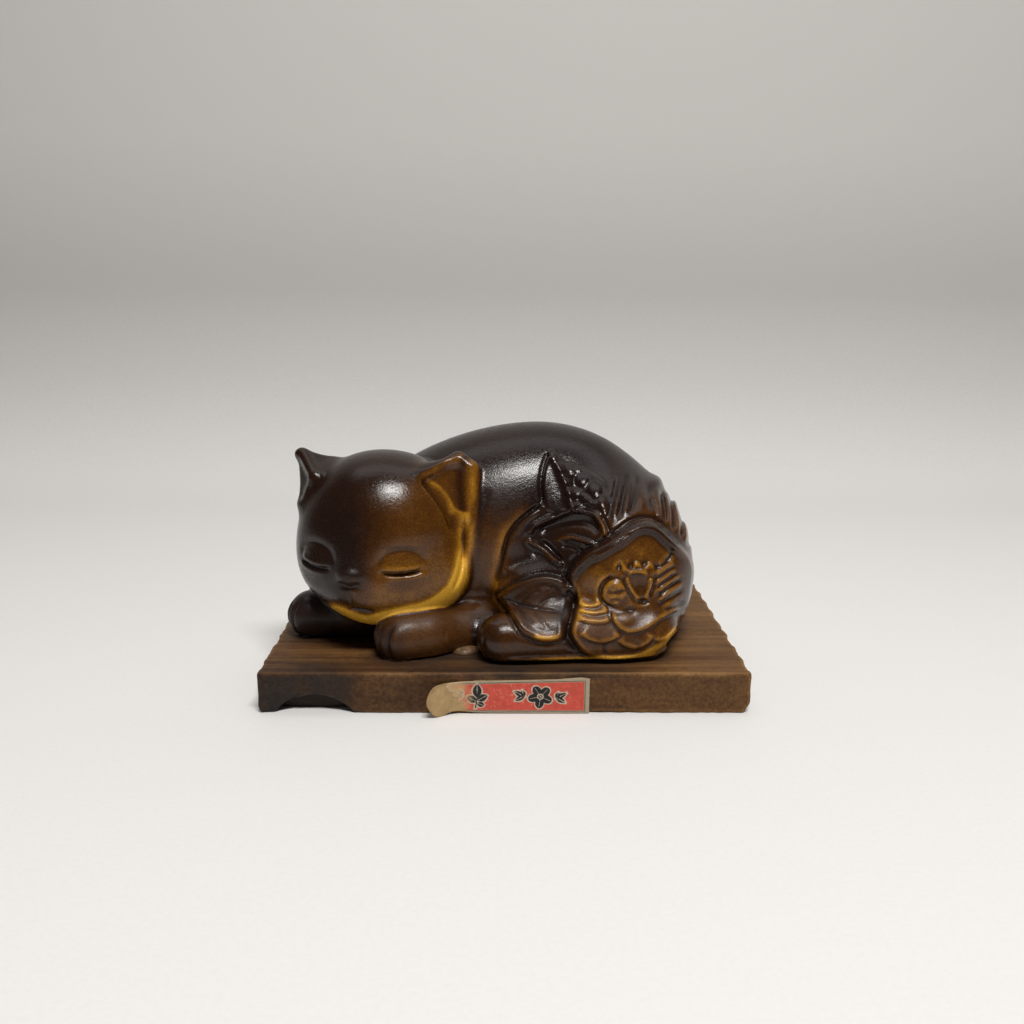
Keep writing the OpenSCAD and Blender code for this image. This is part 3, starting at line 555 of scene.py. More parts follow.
def lone(Q, n):
    """vertices of tiny closed bits, to leave out"""
    lab = np.arange(n)
    E = np.concatenate([Q[:, [0, 1]], Q[:, [1, 2]], Q[:, [2, 3]], Q[:, [3, 0]]])
    for _ in range(14):
        m = np.minimum(lab[E[:, 0]], lab[E[:, 1]])
        np.minimum.at(lab, E[:, 0], m); np.minimum.at(lab, E[:, 1], m)
    cross = lab[E[:, 0]] != lab[E[:, 1]]
    live = np.zeros(n, bool); live[lab[E[cross, 0]]] = True; live[lab[E[cross, 1]]] = True
    return ~live[lab]

def bend(X, N, Q, rounds):
    """how hollow the surface is at each vertex, in 1/mm, evened out; crests are negative"""
    n = len(X); E = np.concatenate([Q[:, [0, 1]], Q[:, [1, 2]], Q[:, [2, 3]], Q[:, [3, 0]]]); E = np.concatenate([E, E[:, ::-1]])
    cnt = np.maximum(np.bincount(E[:, 0], minlength=n), 1)
    mean = lambda f: np.bincount(E[:, 0], f[E[:, 1]], n) / cnt
    L = np.stack([mean(X[:, i]) for i in range(3)], 1) - X; l2 = np.bincount(E[:, 0], ((X[E[:, 1]] - X[E[:, 0]]) ** 2).sum(1), n) / cnt
    k = 4 * (L * N).sum(1) / np.maximum(l2, 1e-4)
    for _ in range(rounds): k = 0.5 * k + 0.5 * mean(k)
    return k

def trim(X, Q):
    bad = lone(Q, len(X))
    keep = ~bad
    new = np.cumsum(keep) - 1
    return X[keep], new[Q[keep[Q].all(1)]]

JAW = [(318, 603), (328, 606), (340, 611), (353, 616.5), (367, 621.5), (378, 620), (402, 614), (427, 608), (446, 596), (457, 581), (462, 556), (463, 530), (461, 508), (453, 497)]
def tone(P, N, u, v, b, h, r):
    """how much of the golden ground shows through the dark overspray, 0 to 1, with painted shade darkening cuts,
    grooves, hollows and the ear, and painted highlights on some ridges and the muzzle
    """
    x, y, z = P[:, 0], P[:, 1], P[:, 2]
    wh = sst(-0.8, 0.8, b - h); up = N[:, 2]
    see = sst(-0.05, 0.25, -(N @ FWD.astype(f32))) * sst(16, 4, y)
    # where the carving map doesn't reach: stain sprayed from above
    t0 = 0.34 - 0.28 * sst(-0.1, 0.65, up) - 0.06 * sst(40, 60, z) + 0.25 * gau(z - T, 1.8) * (up < 0.5)
    # body
    t = 0.24 * sst(476, 530, v) + 0.11
    t = t - 0.20 * sst(520, 535, u) * sst(600, 585, v) * sst(612, 590, u)
    t = t + 0.12 * sst(520, 500, u) * sst(505, 540, v)
    t = t + 0.16 * sst(622, 650, u) * sst(474, 500, v)
    t = t - 0.14 * gau(np.hypot((u - 560) / 24, (v - 478) / 22), 1)
    # painted shade: the darker band just beside the haunch's edge and the darker patch over leaf 1 stand for shade in
    # the groove and the fold
    d, s, k = line(u, v, HAUNCH); sd = d * -s
    t = t + 0.22 * gau(sd + 7, 6) * sst(0, .3, k) - 0.16 * gau(sd + 2.0, 3.0)
    t = t - 0.10 * gau(np.hypot((u - 522) / 14, (v - 562) / 26), 1)
    # lighter along leaf ridges and midribs: golden crests with painted highlight
    for pts, w, a in (([(530, 520), (541, 512), (548, 508)], 3, .18), ([(595, 508), (602, 520), (606, 536)], 2.6, .28), ([(556, 541), (572, 538), (598, 546)], 2.4, .22), ([(526, 538), (534, 544), (553, 559)], 2.6, .18), ([(562, 536), (580, 530), (596, 534)], 6, .10)):
        d, s, k = line(u, v, pts); t = t + a * gau(d, w)
    d, s, k = line(u, v, [(481, 462), (481, 474), (478, 488), (474, 506), (472, 522), (470.5, 540), (468.5, 560), (465, 578)])
    t = t + 0.26 * gau(d, 4.6) * sst(0, .1, k) * sst(0, .3, 1 - k)
    sd = inside(u, v, LEAF1); l1 = sst(1, -3, sd)
    t = t * (1 - l1) + l1 * (0.28 + 0.10 * sst(600, 622, v) + 0.06 * gau(u - 545, 18))
    d, s, k = line(u, v, [(531, 634), (541, 637.5), (553, 638), (562, 633), (564, 622)]); t = t + 0.44 * gau(d, 3.4) * sst(0, .15, k) * sst(0, .2, 1 - k)
    sd = inside(u, v, PEONY); pe = sst(2, -4, sd)
    q = 0.50 + 0.10 * gau(np.hypot((u - 592) / 18, (v - 588) / 18), 1) + 0.08 * gau(np.hypot((u - 640) / 26, (v - 550) / 12), 1) - 0.10 * sst(665, 690, u) - 0.08 * sst(628, 650, v)
    q = q + 0.22 * gau(np.hypot((u - 586) / 16, (v - 610) / 13), 1)
    t = t * (1 - pe) + pe * q
    d, s, k = line(u, v, RIM); t = t * (1 - 0.88 * gau(d * np.where(s > 0, 1.25, 0.8), 6.5) * sst(0, .05, k) * sst(0, .16, 1 - k))
    # painted shade darkening the groove between leaf 1 and the peony
    d, s, k = line(u, v, [(565, 588), (566, 604), (562, 620), (565, 634), (571, 646), (584, 653)]); t = t * (1 - 0.62 * gau(d, 6.0) * sst(0, .1, k) * sst(0, .2, 1 - k))
    # feet and forelegs
    t = t - 0.20 * sst(512, 492, u) * sst(606, 622, v) * sst(469, 474, u)
    t = t + 0.05 * sst(520, 560, u) * sst(640, 650, v)
    t = t - 0.30 * sst(350, 330, u) * sst(575, 590, v)
    # painted shade on the foreleg under the chin
    t = t - 0.20 * sst(415, 385, u) * sst(615, 628, v)
    d, s, k = line(u, v, [(500, 663.5), (520, 663), (560, 660.5), (600, 659), (640, 656), (664, 644), (676, 631)]); t = t + 0.60 * gau(d, 3.4) * sst(0.05, .3, k)
    d, s, k = line(u, v, [(385, 659), (410, 659), (440, 653), (462, 645)]); t = t + 0.12 * gau(d, 2.5)
    # head
    vt = 497 - 0.0 * u - 26 * sst(392, 432, u)
    a = 0.17 + 0.33 * sst(330, 396, u + 0.30 * np.clip(v - 560, -30, 40)) * sst(vt - 30, vt + 10, v) + 0.03 * sst(425, 452, u) * sst(470, 500, v)
    a = a + 0.10 * sst(350, 380, u) * sst(530, 570, v)
    a = a * (1 - 0.75 * gau(np.hypot((u - 349) / 17, (v - 573) / 17), 1)) * (1 - 0.5 * gau(np.hypot((u - 346) / 14, (v - 540) / 30), 1))
    d, s, k = line(u, v, JAW); sd = d * s
    a = a + (1.00 - 0.66 * sst(.48, .85, k)) * gau(np.clip(sd - 3, 0, 99), 8.0 - 2.6 * sst(.45, .75, k)) * sst(0, .08, k) * sst(11, -1, -sd) * sst(0, .05, 1 - k)
    # painted highlight: a lighter streak down the philtrum; the mouth is darkened
    a = a + 0.16 * gau(np.hypot((u - 353) / 5, (v - 592) / 12), 1) - 0.30 * gau(np.hypot((u - 363) / 10, (v - 611) / 3.2), 1)
    # around the right eye: painted shade in the hollow under it and in the crease over the lid, with a thin golden
    # line along the lid's lower edge
    a = a - 0.12 * gau(np.hypot((u - 404) / 18, (v - 584) / 9), 1) + 0.12 * gau(np.hypot((u - 402) / 16, (v - 568) / 1.8), 1) - 0.03 * gau(np.hypot((u - 404) / 20, (v - 557) / 8), 1)
    a = a - 0.12 * gau(np.hypot((u - 404) / 22, (v - 548) / 2.2), 1)
    # right ear, amber, with painted shade as a dark crease down the hollow
    er = sst(416, 426, u) * sst(512, 496, v - 0.0 * u)
    d, s, k = line(u, v, [(467, 456), (462, 466), (459.5, 480), (460.5, 495), (462, 508)]); ea = 0.55 - 0.22 * gau(d, 3.6) + 0.20 * gau(np.hypot(u - 474, (v - 488) / 3.5), 6)
    d, s, k = line(u, v, [(421, 475), (433.5, 482.5), (443.5, 490), (450, 500), (452, 511)]); a = a + 0.26 * gau(d, 4.0) * sst(0, .2, k)
    inear = sst(1.5, -1.5, inside(u, v, [(419, 474), (430, 467), (452, 454), (466, 450), (476, 454), (482, 465), (480, 485), (474, 506), (466, 512), (456, 508), (450, 498), (440, 486), (430, 479)]))
    a = a * (1 - inear) + ea * inear
    d, s, k = line(u, v, [(414, 474), (430, 465), (452, 453), (462, 450)]); a = a * (1 - 0.75 * gau(d + 0.0, 3.0))
    t = t * (1 - wh) + a * wh
    t = t0 * (1 - see) + t * see
    t = np.where((wh > 0.5) & (see < 0.5), 0.10 + 0.14 * sst(0.3, -0.4, up), t)
    # painted shade darkens the cuts, and the stain is rubbed lighter on the crests
    c = np.where(wh > 0.5, 0.18, 0.30)
    t = t - c * np.clip(r[:, 0] - 0.04, 0, 0.6) + (0.10 + 0.28 * pe * (1 - wh)) * np.clip(-r[:, 0] - 0.04, 0, 0.6)
    return np.clip(t, 0.03, 1)

def sheen(P, u, v, b, h):
    """how glossy the lacquer is, 0 to 1: duller on the forelegs, round the nose and low on the haunch"""
    wh = sst(-0.8, 0.8, b - h); near = sst(16, 4, P[:, 1])
    g = 1 - 0.62 * (1 - wh) * sst(480, 462, u) * sst(590, 606, v) * near
    g = g - 0.60 * wh * gau(np.hypot((u - 338) / 30, (v - 582) / 20), 1) - 0.15 * (1 - wh) * gau(np.hypot((u - 560) / 60, (v - 545) / 34), 1) * near
    g = g - 0.55 * (1 - wh) * gau(np.hypot((u - 605) / 60, (v - 632) / 34), 1) * near - 0.35 * (1 - wh) * gau(np.hypot((u - 500) / 26, (v - 520) / 60), 1) * near
    g = g - 0.50 * (1 - wh) * gau(np.hypot((u - 540) / 27, (v - 608) / 23), 1) * near
    return np.clip(g, 0.25, 1)

def cat_material():
    M = Mat("lacquered_moulding")
    r, g, b, _ = M.attr("stain_and_painted_shade")
    c = M.coord()
    fine = M.noise(c, 2600, 3, 0.65); mid = M.noise(c, 420, 3, 0.55); big = M.noise(c, 60, 2, 0.5)
    k = M.math("MULTIPLY_ADD", M.math("SUBTRACT", fine, 0.5), 0.46, r)
    k = M.math("MULTIPLY_ADD", M.math("SUBTRACT", mid, 0.5), 0.14, k)
    k = M.math("MULTIPLY_ADD", M.math("SUBTRACT", big, 0.5), 0.12, k, True)
    col = M.ramp(k, [(0.0, (0.0125, 0.0060, 0.0048)), (0.14, (0.0155, 0.0068, 0.0045)), (0.28, (0.026, 0.0092, 0.0030)), (0.42, (0.049, 0.0162, 0.0022)), (0.55, (0.092, 0.0325, 0.0040)), (0.72, (0.225, 0.092, 0.0085)), (0.88, (0.46, 0.215, 0.018)), (1.0, (0.80, 0.43, 0.048))])
    grain = M.noise(c, 2600, 2, 0.6); lump = M.noise(c, 900, 2, 0.5)
    n1 = M.bump(grain, 0.42, 0.00011)
    n2 = M.bump(lump, 0.25, 0.00016, n1)
    fleck = M.ramp(M.noise(c, 2300, 2, 0.7), [(0.40, (0, 0, 0)), (0.60, (1, 1, 1))])
    rough = M.math("MULTIPLY_ADD", fleck, -0.14, M.math("MULTIPLY_ADD", mid, 0.10, 0.22))
    rough = M.math("MULTIPLY_ADD", M.math("SUBTRACT", 1.0, g), 0.42, rough, True)
    M.set(Base_Color=col, Roughness=rough, Normal=n2, Specular_IOR_Level=0.34, Coat_Weight=0.08, Coat_Roughness=0.14)
    nc = M.bump(grain, 0.34, 0.00010, M.bump(lump, 0.2, 0.00016)); M.put(M.b.inputs["Coat Normal"], nc)
    return M

def make_cat():
    vox = 0.40
    V, lo, vx, _, _ = net(fig, full, (-63, -38, T - 1.5), (54, 40, 70), vox, 3.0)
    X, Q = surface(V, lo, vx)
    X, Q = trim(X, Q)
    N = vnormals(X, Q)
    P = X.astype(f32)
    d = chunks(full, P); P = P - N.astype(f32) * np.clip(d, -0.3, 0.3)[:, None] * (P[:, 2] > T + 0.05)[:, None]
    P[:, 2] = np.maximum(P[:, 2], T)
    N = vnormals(P, Q).astype(f32)
    u, v = seen(P); b, h = parts(P); r = relief(P, u, v, b, h)
    k = bend(P, N, Q, 6)
    t = tone(P, N, u, v, b, h, np.stack([k, r], 1))
    # vertex colours: r how much gold shows, including painted shade and painted highlight; g the gloss; b how far the
    # surface faces up
    ob = mesh_object("cat_moulding", P, Q, {"stain_and_painted_shade": np.stack([t, sheen(P, u, v, b, h), np.clip(N[:, 2] * 0.5 + 0.5, 0, 1)], 1)})
    dress(ob, cat_material())
    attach(ob, "root"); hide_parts("cat_figure")
    return ob
make_cat()

# ---------------------------------------------------------------- the board
BW, BD, BH = 60.0, 36.0, 10.4
rng = np.random.RandomState(7)
def vnoise(P, s, seed):
    """smooth value noise, -1..1"""
    q = P / s; i = np.floor(q).astype(np.int64); f = (q - i).astype(f32); f = f * f * (3 - 2 * f); out = 0
    for a in (0, 1):
        for b in (0, 1):
            for c in (0, 1):
                k = (i[..., 0] + a) * 374761393 + (i[..., 1] + b) * 668265263 + (i[..., 2] + c) * 2147483647 + seed * 974711
                k = (k ^ (k >> 13)) * 1274126177; k = (k ^ (k >> 16)) & 0xffff
                w = (f[..., 0] if a else 1 - f[..., 0]) * (f[..., 1] if b else 1 - f[..., 1]) * (f[..., 2] if c else 1 - f[..., 2])
                out = out + w * (k / 32768.0 - 1.0)
    return out.astype(f32)
def board_base(P):
    x, y, z = P[..., 0], P[..., 1], P[..., 2]
    q = np.stack([np.abs(x) - BW, np.abs(y) - BD, np.abs(z - BH / 2) - BH / 2], -1) + 0.5
    return np.linalg.norm(np.maximum(q, 0), axis=-1) + np.minimum(q.max(-1), 0) - 0.5
def board_full(P):
    x, y, z = P[..., 0], P[..., 1], P[..., 2]
    n1 = vnoise(P, 7.0, 1); n2 = vnoise(P, 2.6, 2)
    wear = 0.75 + 0.35 * n1
    q = np.stack([np.abs(x) - BW, np.abs(y) - BD, np.abs(z - BH / 2) - BH / 2], -1)
    # long grain: shallow ridges along X on top, front and back
    g = vnoise(P * np.array([0.10, 1.0, 1.0], f32), 1.15, 3) * 0.10 + vnoise(P * np.array([0.06, 1.0, 1.0], f32), 3.2, 4) * 0.10
    ends = sst(-1.2, -0.2, q[..., 0])
    d = np.linalg.norm(np.maximum(q + wear[..., None], 0), axis=-1) + np.minimum((q + wear[..., None]).max(-1), 0) - wear
    d = d + g * (1 - ends) * 1.3 + 0.10 * n2 + 0.10 * vnoise(P, 1.5, 6)
    # gouge cuts down both ends, each a little different
    p = BD * 2 / 8; i = np.clip(np.floor((y + BD) / p), 0, 7); c = (i + 0.5) * p - BD
    jit = np.array([0.3, -0.4, 0.2, 0.5, -0.3, 0.1, -0.5, 0.3], f32)[i.astype(int)] * np.where(x > 0, 1, -1)
    dep = 0.62 + 0.30 * np.array([0.2, -0.5, 0.6, -0.2, 0.4, -0.6, 0.1, 0.3], f32)[i.astype(int)]
    R = (p * p / 4 + dep * dep) / (2 * dep)
    cut = R - np.sqrt((np.abs(x) - (BW + R - dep)) ** 2 + (y - c - 0.5 * jit) ** 2)
    d = smax(d, cut + 0.12 * vnoise(P * np.array([1, 1, 0.25], f32), 1.3, 5), 0.35)
    # lower edges of the ends, pared away
    for s, w, a in ((1, 1.8, 2.8), (-1, 0.9, 1.5)):
        nx, nz = a / math.hypot(a, w), w / math.hypot(a, w)
        d = smax(d, (s * x - BW) * nx - z * nz + w * nx + 0.15 * n1 - 0.1, 0.5)
    # charred hollow under the front left edge and the scooped face over it
    hr = 12.0; hx = -45.9
    cyl = hr - np.sqrt((x - hx) ** 2 + (z - (4.3 - hr)) ** 2)
    cyl = np.minimum(cyl + 0.25 * n2 + 0.3 * n1, (-32.6 - y) + 0.5 * n1)
    d = smax(d, cyl, 0.8)
    e = ell(P, (-48.2, -37.4, 1.5), (12.5, 2.3, 8.6))
    d = smax(d, -e, 0.7)
    e = ell(P, (-41.5, -36.9, 5.5), (6.5, 1.3, 4.5)); d = smax(d, -e, 0.8)
    # a few knife marks on the front face
    for (x0, z0, x1, z1, w, k) in ((-49.6, 4.9, -53.0, 2.5, 0.38, 0.6), (-52.6, 2.8, -55.2, 0.3, 0.38, 0.6), (-50.6, 3.1, -52.9, 1.2, 0.3, 0.35), (-58.8, 5.6, -57.0, 2.2, 0.35, 0.3), (-58.5, 8.2, -54.8, 7.4, 0.3, 0.3), (22.6, 8.4, 33, 8.9, 0.3, 0.2), (36, 3.2, 47, 3.0, 0.25, 0.2), (24, 1.6, 31, 1.3, 0.3, 0.2), (-34, 8.6, -24, 9.0, 0.3, 0.2)):
        t = np.clip(((x - x0) * (x1 - x0) + (z - z0) * (z1 - z0)) / ((x1 - x0) ** 2 + (z1 - z0) ** 2), 0, 1)
        r = np.hypot(x - x0 - t * (x1 - x0), z - z0 - t * (z1 - z0)); d = d + k * gau(r, w) * sst(-33, -35, y) * np.sqrt(np.clip(np.sin(t * math.pi), 0, 1))
    # holes for the screws
    for sx, sy in ((-16, 3), (24, 3)):
        r = np.hypot(x - sx, y - sy); d = np.maximum(d, 2.0 - r); d = np.maximum(d, np.minimum(3.7 - r, 0.6 - z)); d = np.maximum(d, (3.7 - r - (z - 0.6)) * 0.707 * (z < 2.4) - 9 * (z >= 2.4))
    return d
def board_material():
    M = Mat("scorched_wood")
    r, g, b, _ = M.attr("scorch_and_painted_light")            # r: char and painted shade, g: warmth of the wood and painted light, b: end grain
    c = M.coord()
    wav = M.noise(M.coord((1.0, 5.0, 5.0)), 22, 2, 0.5)
    st = M.n.new("ShaderNodeVectorMath"); st.operation = "ADD"
    M.t.links.new(M.coord((14, 620, 620)), st.inputs[0])
    wv = M.n.new("ShaderNodeCombineXYZ"); M.put(wv.inputs[1], M.math("MULTIPLY", wav, 2.2)); M.put(wv.inputs[2], M.math("MULTIPLY", wav, 1.4)); M.t.links.new(wv.outputs[0], st.inputs[1])
    grain = M.noise(st.outputs[0], 1.0, 5, 0.62)
    streak = M.noise(M.coord((9, 160, 160)), 1.0, 3, 0.55)
    pores = M.noise(M.coord((120, 2400, 2400)), 1.0, 2, 0.6)
    speck = M.noise(c, 1100, 4, 0.75)
    face = M.math("SUBTRACT", 1.0, M.math("MULTIPLY", b, 0.72)); blot = M.noise(M.coord((35, 70, 70)), 1.0, 3, 0.55)
    k = M.math("MULTIPLY_ADD", M.math("MULTIPLY", M.math("SUBTRACT", grain, 0.5), face), 0.82, 0.5)
    k = M.math("MULTIPLY_ADD", M.math("MULTIPLY", M.math("SUBTRACT", streak, 0.5), face), 0.75, k)
    k = M.math("MULTIPLY_ADD", M.math("SUBTRACT", blot, 0.5), 0.55, k)
    k = M.math("MULTIPLY_ADD", M.math("SUBTRACT", speck, 0.5), M.math("MULTIPLY_ADD", b, 0.55, 0.50), k)
    k = M.math("ADD", k, M.math("MULTIPLY", M.math("SUBTRACT", g, 0.5), 0.7), clamp=True)
    wood = M.ramp(k, [(0.0, (0.018, 0.0075, 0.0032)), (0.30, (0.052, 0.0215, 0.0075)), (0.52, (0.108, 0.047, 0.0145)), (0.75, (0.190, 0.090, 0.027)), (1.0, (0.30, 0.155, 0.052))])
    ch = M.math("MULTIPLY_ADD", M.math("SUBTRACT", streak, 0.5), 0.5, r, True)
    ch = M.math("MULTIPLY_ADD", M.math("SUBTRACT", speck, 0.5), 0.35, ch, True)
    char_and_painted_shade = M.ramp(speck, [(0.3, (0.010, 0.0075, 0.0065)), (0.7, (0.030, 0.022, 0.018))])
    col = M.mix(ch, wood, char_and_painted_shade)
    n1 = M.bump(grain, 0.45, 0.00025); n2 = M.bump(pores, 0.30, 0.00010, n1); n3 = M.bump(speck, 0.25, 0.00010, n2)
    M.set(Base_Color=col, Roughness=M.math("MULTIPLY_ADD", grain, 0.25, 0.48), Normal=n3, Specular_IOR_Level=0.25)
    return M
def make_board():
    vox = 0.5
    V, lo, vx, _, _ = net(board_base, board_full, (-62, -38, -1.2), (62, 38, 12.4), vox, 3.2)
    X, Q = surface(V, lo, vx); X, Q = trim(X, Q)
    N = vnormals(X, Q); P = X.astype(f32)
    P = P - N.astype(f32) * np.clip(chunks(board_full, P), -0.3, 0.3)[:, None]
    P[:, 2] = np.clip(P[:, 2], 0.0, BH - 0.0)
    P[:, 1] = np.clip(P[:, 1], -BD, BD)
    N = vnormals(P, Q).astype(f32); wear = bend(P, N, Q, 3)
    x, y, z = P[:, 0], P[:, 1], P[:, 2]
    n1 = vnoise(P, 9, 11); n2 = vnoise(P, 3.5, 12)
    front = sst(-0.4, -0.8, N[:, 1]); top = sst(0.5, 0.9, N[:, 2]); end = sst(0.4, 0.8, np.abs(N[:, 0]))
    char_and_painted_shade = 0.10 + 0.10 * n1
    char_and_painted_shade = char_and_painted_shade + (0.70 + 0.25 * n2) * sst(-33, -41, x + 2.0 * n1) * sst(10.6, 9.2, z + 0.4 * n2) * sst(-26, -31, y)
    # char at the front left corner of the top, and darker along the bottom edge
    char_and_painted_shade = char_and_painted_shade + 0.5 * gau(np.hypot(x + 47, y + 34.5), 9) * top + 0.30 * sst(1.6, 0.0, z) * (0.6 + 0.4 * n1)
    char_and_painted_shade = char_and_painted_shade + 0.75 * sst(BH - 2.0, BH - 0.5, z + 0.5 * n2) * front * sst(-24, -17, x) * sst(32, 22, x) * (0.8 + 0.3 * n1)
    char_and_painted_shade = char_and_painted_shade + 0.55 * top * gau(y + 34.6, 1.6) * sst(-24, -14, x) * sst(40, 24, x) * (0.75 + 0.5 * n2)
    # darker on the ends, and darker on the back face and underneath
    char_and_painted_shade = char_and_painted_shade + 0.30 * end * (0.6 + 0.5 * n1) + 0.25 * sst(0.4, 0.9, N[:, 1]) + 0.25 * sst(-0.5, -0.9, N[:, 2])
    # painted shade with some staining on the top round the figure's feet, darkest right by them
    fd = np.maximum(chunks(fig, P) - 0.5, 0)
    char_and_painted_shade = char_and_painted_shade + (0.42 * gau(fd, 3.0) + 0.22 * gau(fd, 9.0) * sst(-30, -12, x) * sst(40, 20, x)) * top
    char_and_painted_shade = char_and_painted_shade - 0.35 * np.clip(-wear - 0.12, 0, 0.5) * (x > -34)
    # painted light and shade: top and front lighter towards the right end, front darker towards the left; worn crests
    # lighter and warmer, hollows darker
    warmth_and_painted_light = 0.48 + 0.55 * np.clip(-wear - 0.10, 0, 0.45) * (1 - 0.7 * sst(-33, -40, x) * front) - 0.3 * np.clip(wear - 0.1, 0, 0.4) + 0.20 * sst(10, 50, x) * top + 0.08 * sst(-15, -50, x) * top + 0.10 * sst(20, 60, x) * front - 0.10 * sst(-10, -55, x) * front + 0.10 * n1
    ob = mesh_object("board_carved", P, Q, {"scorch_and_painted_light": np.stack([np.clip(char_and_painted_shade, 0, 1), np.clip(warmth_and_painted_light, 0, 1), np.clip(end + front, 0, 1)], 1)})
    dress(ob, board_material())
    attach(ob, "root"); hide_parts("base_board")
make_board()

# ---------------------------------------------------------------- label
LR, LF, CR = 20.5, 29.5, 13.5             # right end, length lying on the board, curl radius
def label_line(s, o):
    """plan place at arc length s from the right end, o off the board"""
    s = np.asarray(s, float); a = np.maximum(s - LF, 0) / CR
    x = LR - np.minimum(s, LF) - (CR - o) * np.sin(a); y = -BD - o - CR * (1 - np.cos(a)) + o * (1 - np.cos(a))
    y = np.where(s > LF, -BD - CR + (CR - o) * np.cos(a), -BD - o)
    return x, y
def poly_sd(U, W, pts):
    return inside(U.astype(f32), W.astype(f32), pts, 3)
def sheet_mesh(name, s0, s1, o, thick, outline, step, colour, wav=0.0):
    """a ply of the label: a dense grid in (s, z) kept inside its outline, with thickness"""
    S = np.arange(s0, s1 + step / 2, step); Z = np.arange(0.05, 9.6, step)
    ss, zz = np.meshgrid(S, Z, indexing="ij")
    sd = poly_sd(ss, zz, outline)
    n = ss.shape
    # snap the grid's edge vertices onto the outline
    gx = np.gradient(sd, step, axis=0); gz = np.gradient(sd, step, axis=1); gl = np.hypot(gx, gz) + 1e-6
    edge = np.abs(sd) < step * 0.75
    ss = np.where(edge, ss - sd * gx / gl, ss); zz = np.where(edge, zz - sd * gz / gl, zz)
    ok = (sd < step * 0.75)
    cell = ok[:-1, :-1] & ok[1:, :-1] & ok[1:, 1:] & ok[:-1, 1:]
    lift = wav * (0.5 + 0.5 * np.sin(ss * 0.9 + zz * 0.5)) * sst(20, 34, ss.astype(f32))
    lift = lift + 0.9 * wav * gau((zz - 1.5), 2.0) * sst(31, 38, ss.astype(f32))
    def at(off):
        x, y = label_line(ss, o + off + lift); return np.stack([x, y, zz], -1).reshape(-1, 3)
    A = at(thick); B = at(0.0)
    idx = np.arange(n[0] * n[1]).reshape(n); c = np.argwhere(cell)
    q = np.stack([idx[c[:, 0], c[:, 1]], idx[c[:, 0], c[:, 1] + 1], idx[c[:, 0] + 1, c[:, 1] + 1], idx[c[:, 0] + 1, c[:, 1]]], 1)
    N = n[0] * n[1]
    F = [q, q[:, ::-1] + N]
    E = np.concatenate([q[:, [0, 1]], q[:, [1, 2]], q[:, [2, 3]], q[:, [3, 0]]])
    key = np.minimum(E[:, 0], E[:, 1]) * N + np.maximum(E[:, 0], E[:, 1])
    un, first, cnt = np.unique(key, return_index=True, return_counts=True)
    b = E[first[cnt == 1]]
    F.append(np.stack([b[:, 1], b[:, 0], b[:, 0] + N, b[:, 1] + N], 1))
    F = np.concatenate(F); X = np.concatenate([A, B]); used = np.unique(F); new = np.zeros(len(X), int); new[used] = np.arange(len(used))
    col = np.concatenate([colour(ss.ravel(), zz.ravel(), sd.ravel(), True), colour(ss.ravel(), zz.ravel(), sd.ravel(), False)])
    return mesh_object(name, X[used], new[F], {"ink": col[used].astype(np.float32)}, smooth=False)
def S_of(x): return LR - x
TOPZ = lambda x: 9.1 - 0.026 * (20.5 - x)
CORE = [(0.0, 0.2), (0.0, 4.5), (0.0, 9.1), (8, 8.9), (16, 8.7), (24, 8.5), (30, 8.4), (34.5, 8.3), (37.6, 8.1), (39.2, 7.3), (40.3, 5.6), (40.5, 4.2), (40.0, 2.9), (39.2, 1.7), (38.4, 0.7), (37.2, 0.15), (35.8, 0.1), (34.6, 0.45), (33.4, 0.75), (32.0, 0.8), (30, 0.6), (27, 0.35), (20, 0.25), (10, 0.2)]
FACE = [(0.0, 0.2), (0.0, 4.5), (0.0, 9.1), (8, 8.9), (16, 8.7), (24, 8.5), (30, 8.4), (33.5, 8.3), (34.5, 8.05), (35.0, 7.3), (34.3, 6.9), (34.2, 6.1), (33.1, 5.8), (33.4, 5.2), (32.9, 4.6), (31.7, 4.4), (31.9, 3.4), (31.3, 2.9), (30.3, 2.8), (30.7, 2.0), (30.1, 1.2), (29.3, 0.9), (28.2, 0.4), (20, 0.25), (10, 0.2)]
def blossom(s, z, cs, cz, R):
    """five round petals with a dot"""
    a = np.arctan2(z - cz, s - cs); r = np.hypot(s - cs, z - cz)
    k = r - R * (0.60 + 0.40 * np.abs(np.cos(2.5 * a + 0.5)))
    eye = np.abs(r - R * 0.22) - 0.13
    vein = np.where(r < R * 0.85, np.abs(np.sin(2.5 * a + 0.5)) * r - 0.10, 9)
    return np.maximum(k, -np.minimum(eye, vein))
def sprig(s, z, cs, cz, R):
    """a stem with three leaves"""
    best = np.full(s.shape, 9.0)
    for ox, oz, an, ln, wd in ((0.0, 0.55, 90, 1.0, 0.36), (-0.42, -0.05, 150, 0.80, 0.30), (0.42, -0.15, 30, 0.80, 0.30), (-0.28, -0.62, 200, 0.55, 0.22)):
        c, d = math.cos(math.radians(an)), math.sin(math.radians(an))
        x, y = s - cs - ox * R, z - cz - oz * R; u = (x * c + y * d) / (ln * R * 0.62); w = (-x * d + y * c) / (wd * R)
        k = (np.abs(w) - np.clip(1 - u * u, 0, 1)) * wd * R; k = np.where(np.abs(u) > 1, np.maximum(k, (np.abs(u) - 1) * R), k)
        k = np.maximum(k, 0.07 - np.abs(-x * d + y * c)); best = np.minimum(best, k)
    stem = np.maximum(np.abs(s - cs + 0.15 * (z - cz)) - 0.16, np.abs(z - cz + 0.1 * R) - 0.85 * R)
    return np.minimum(best, stem)
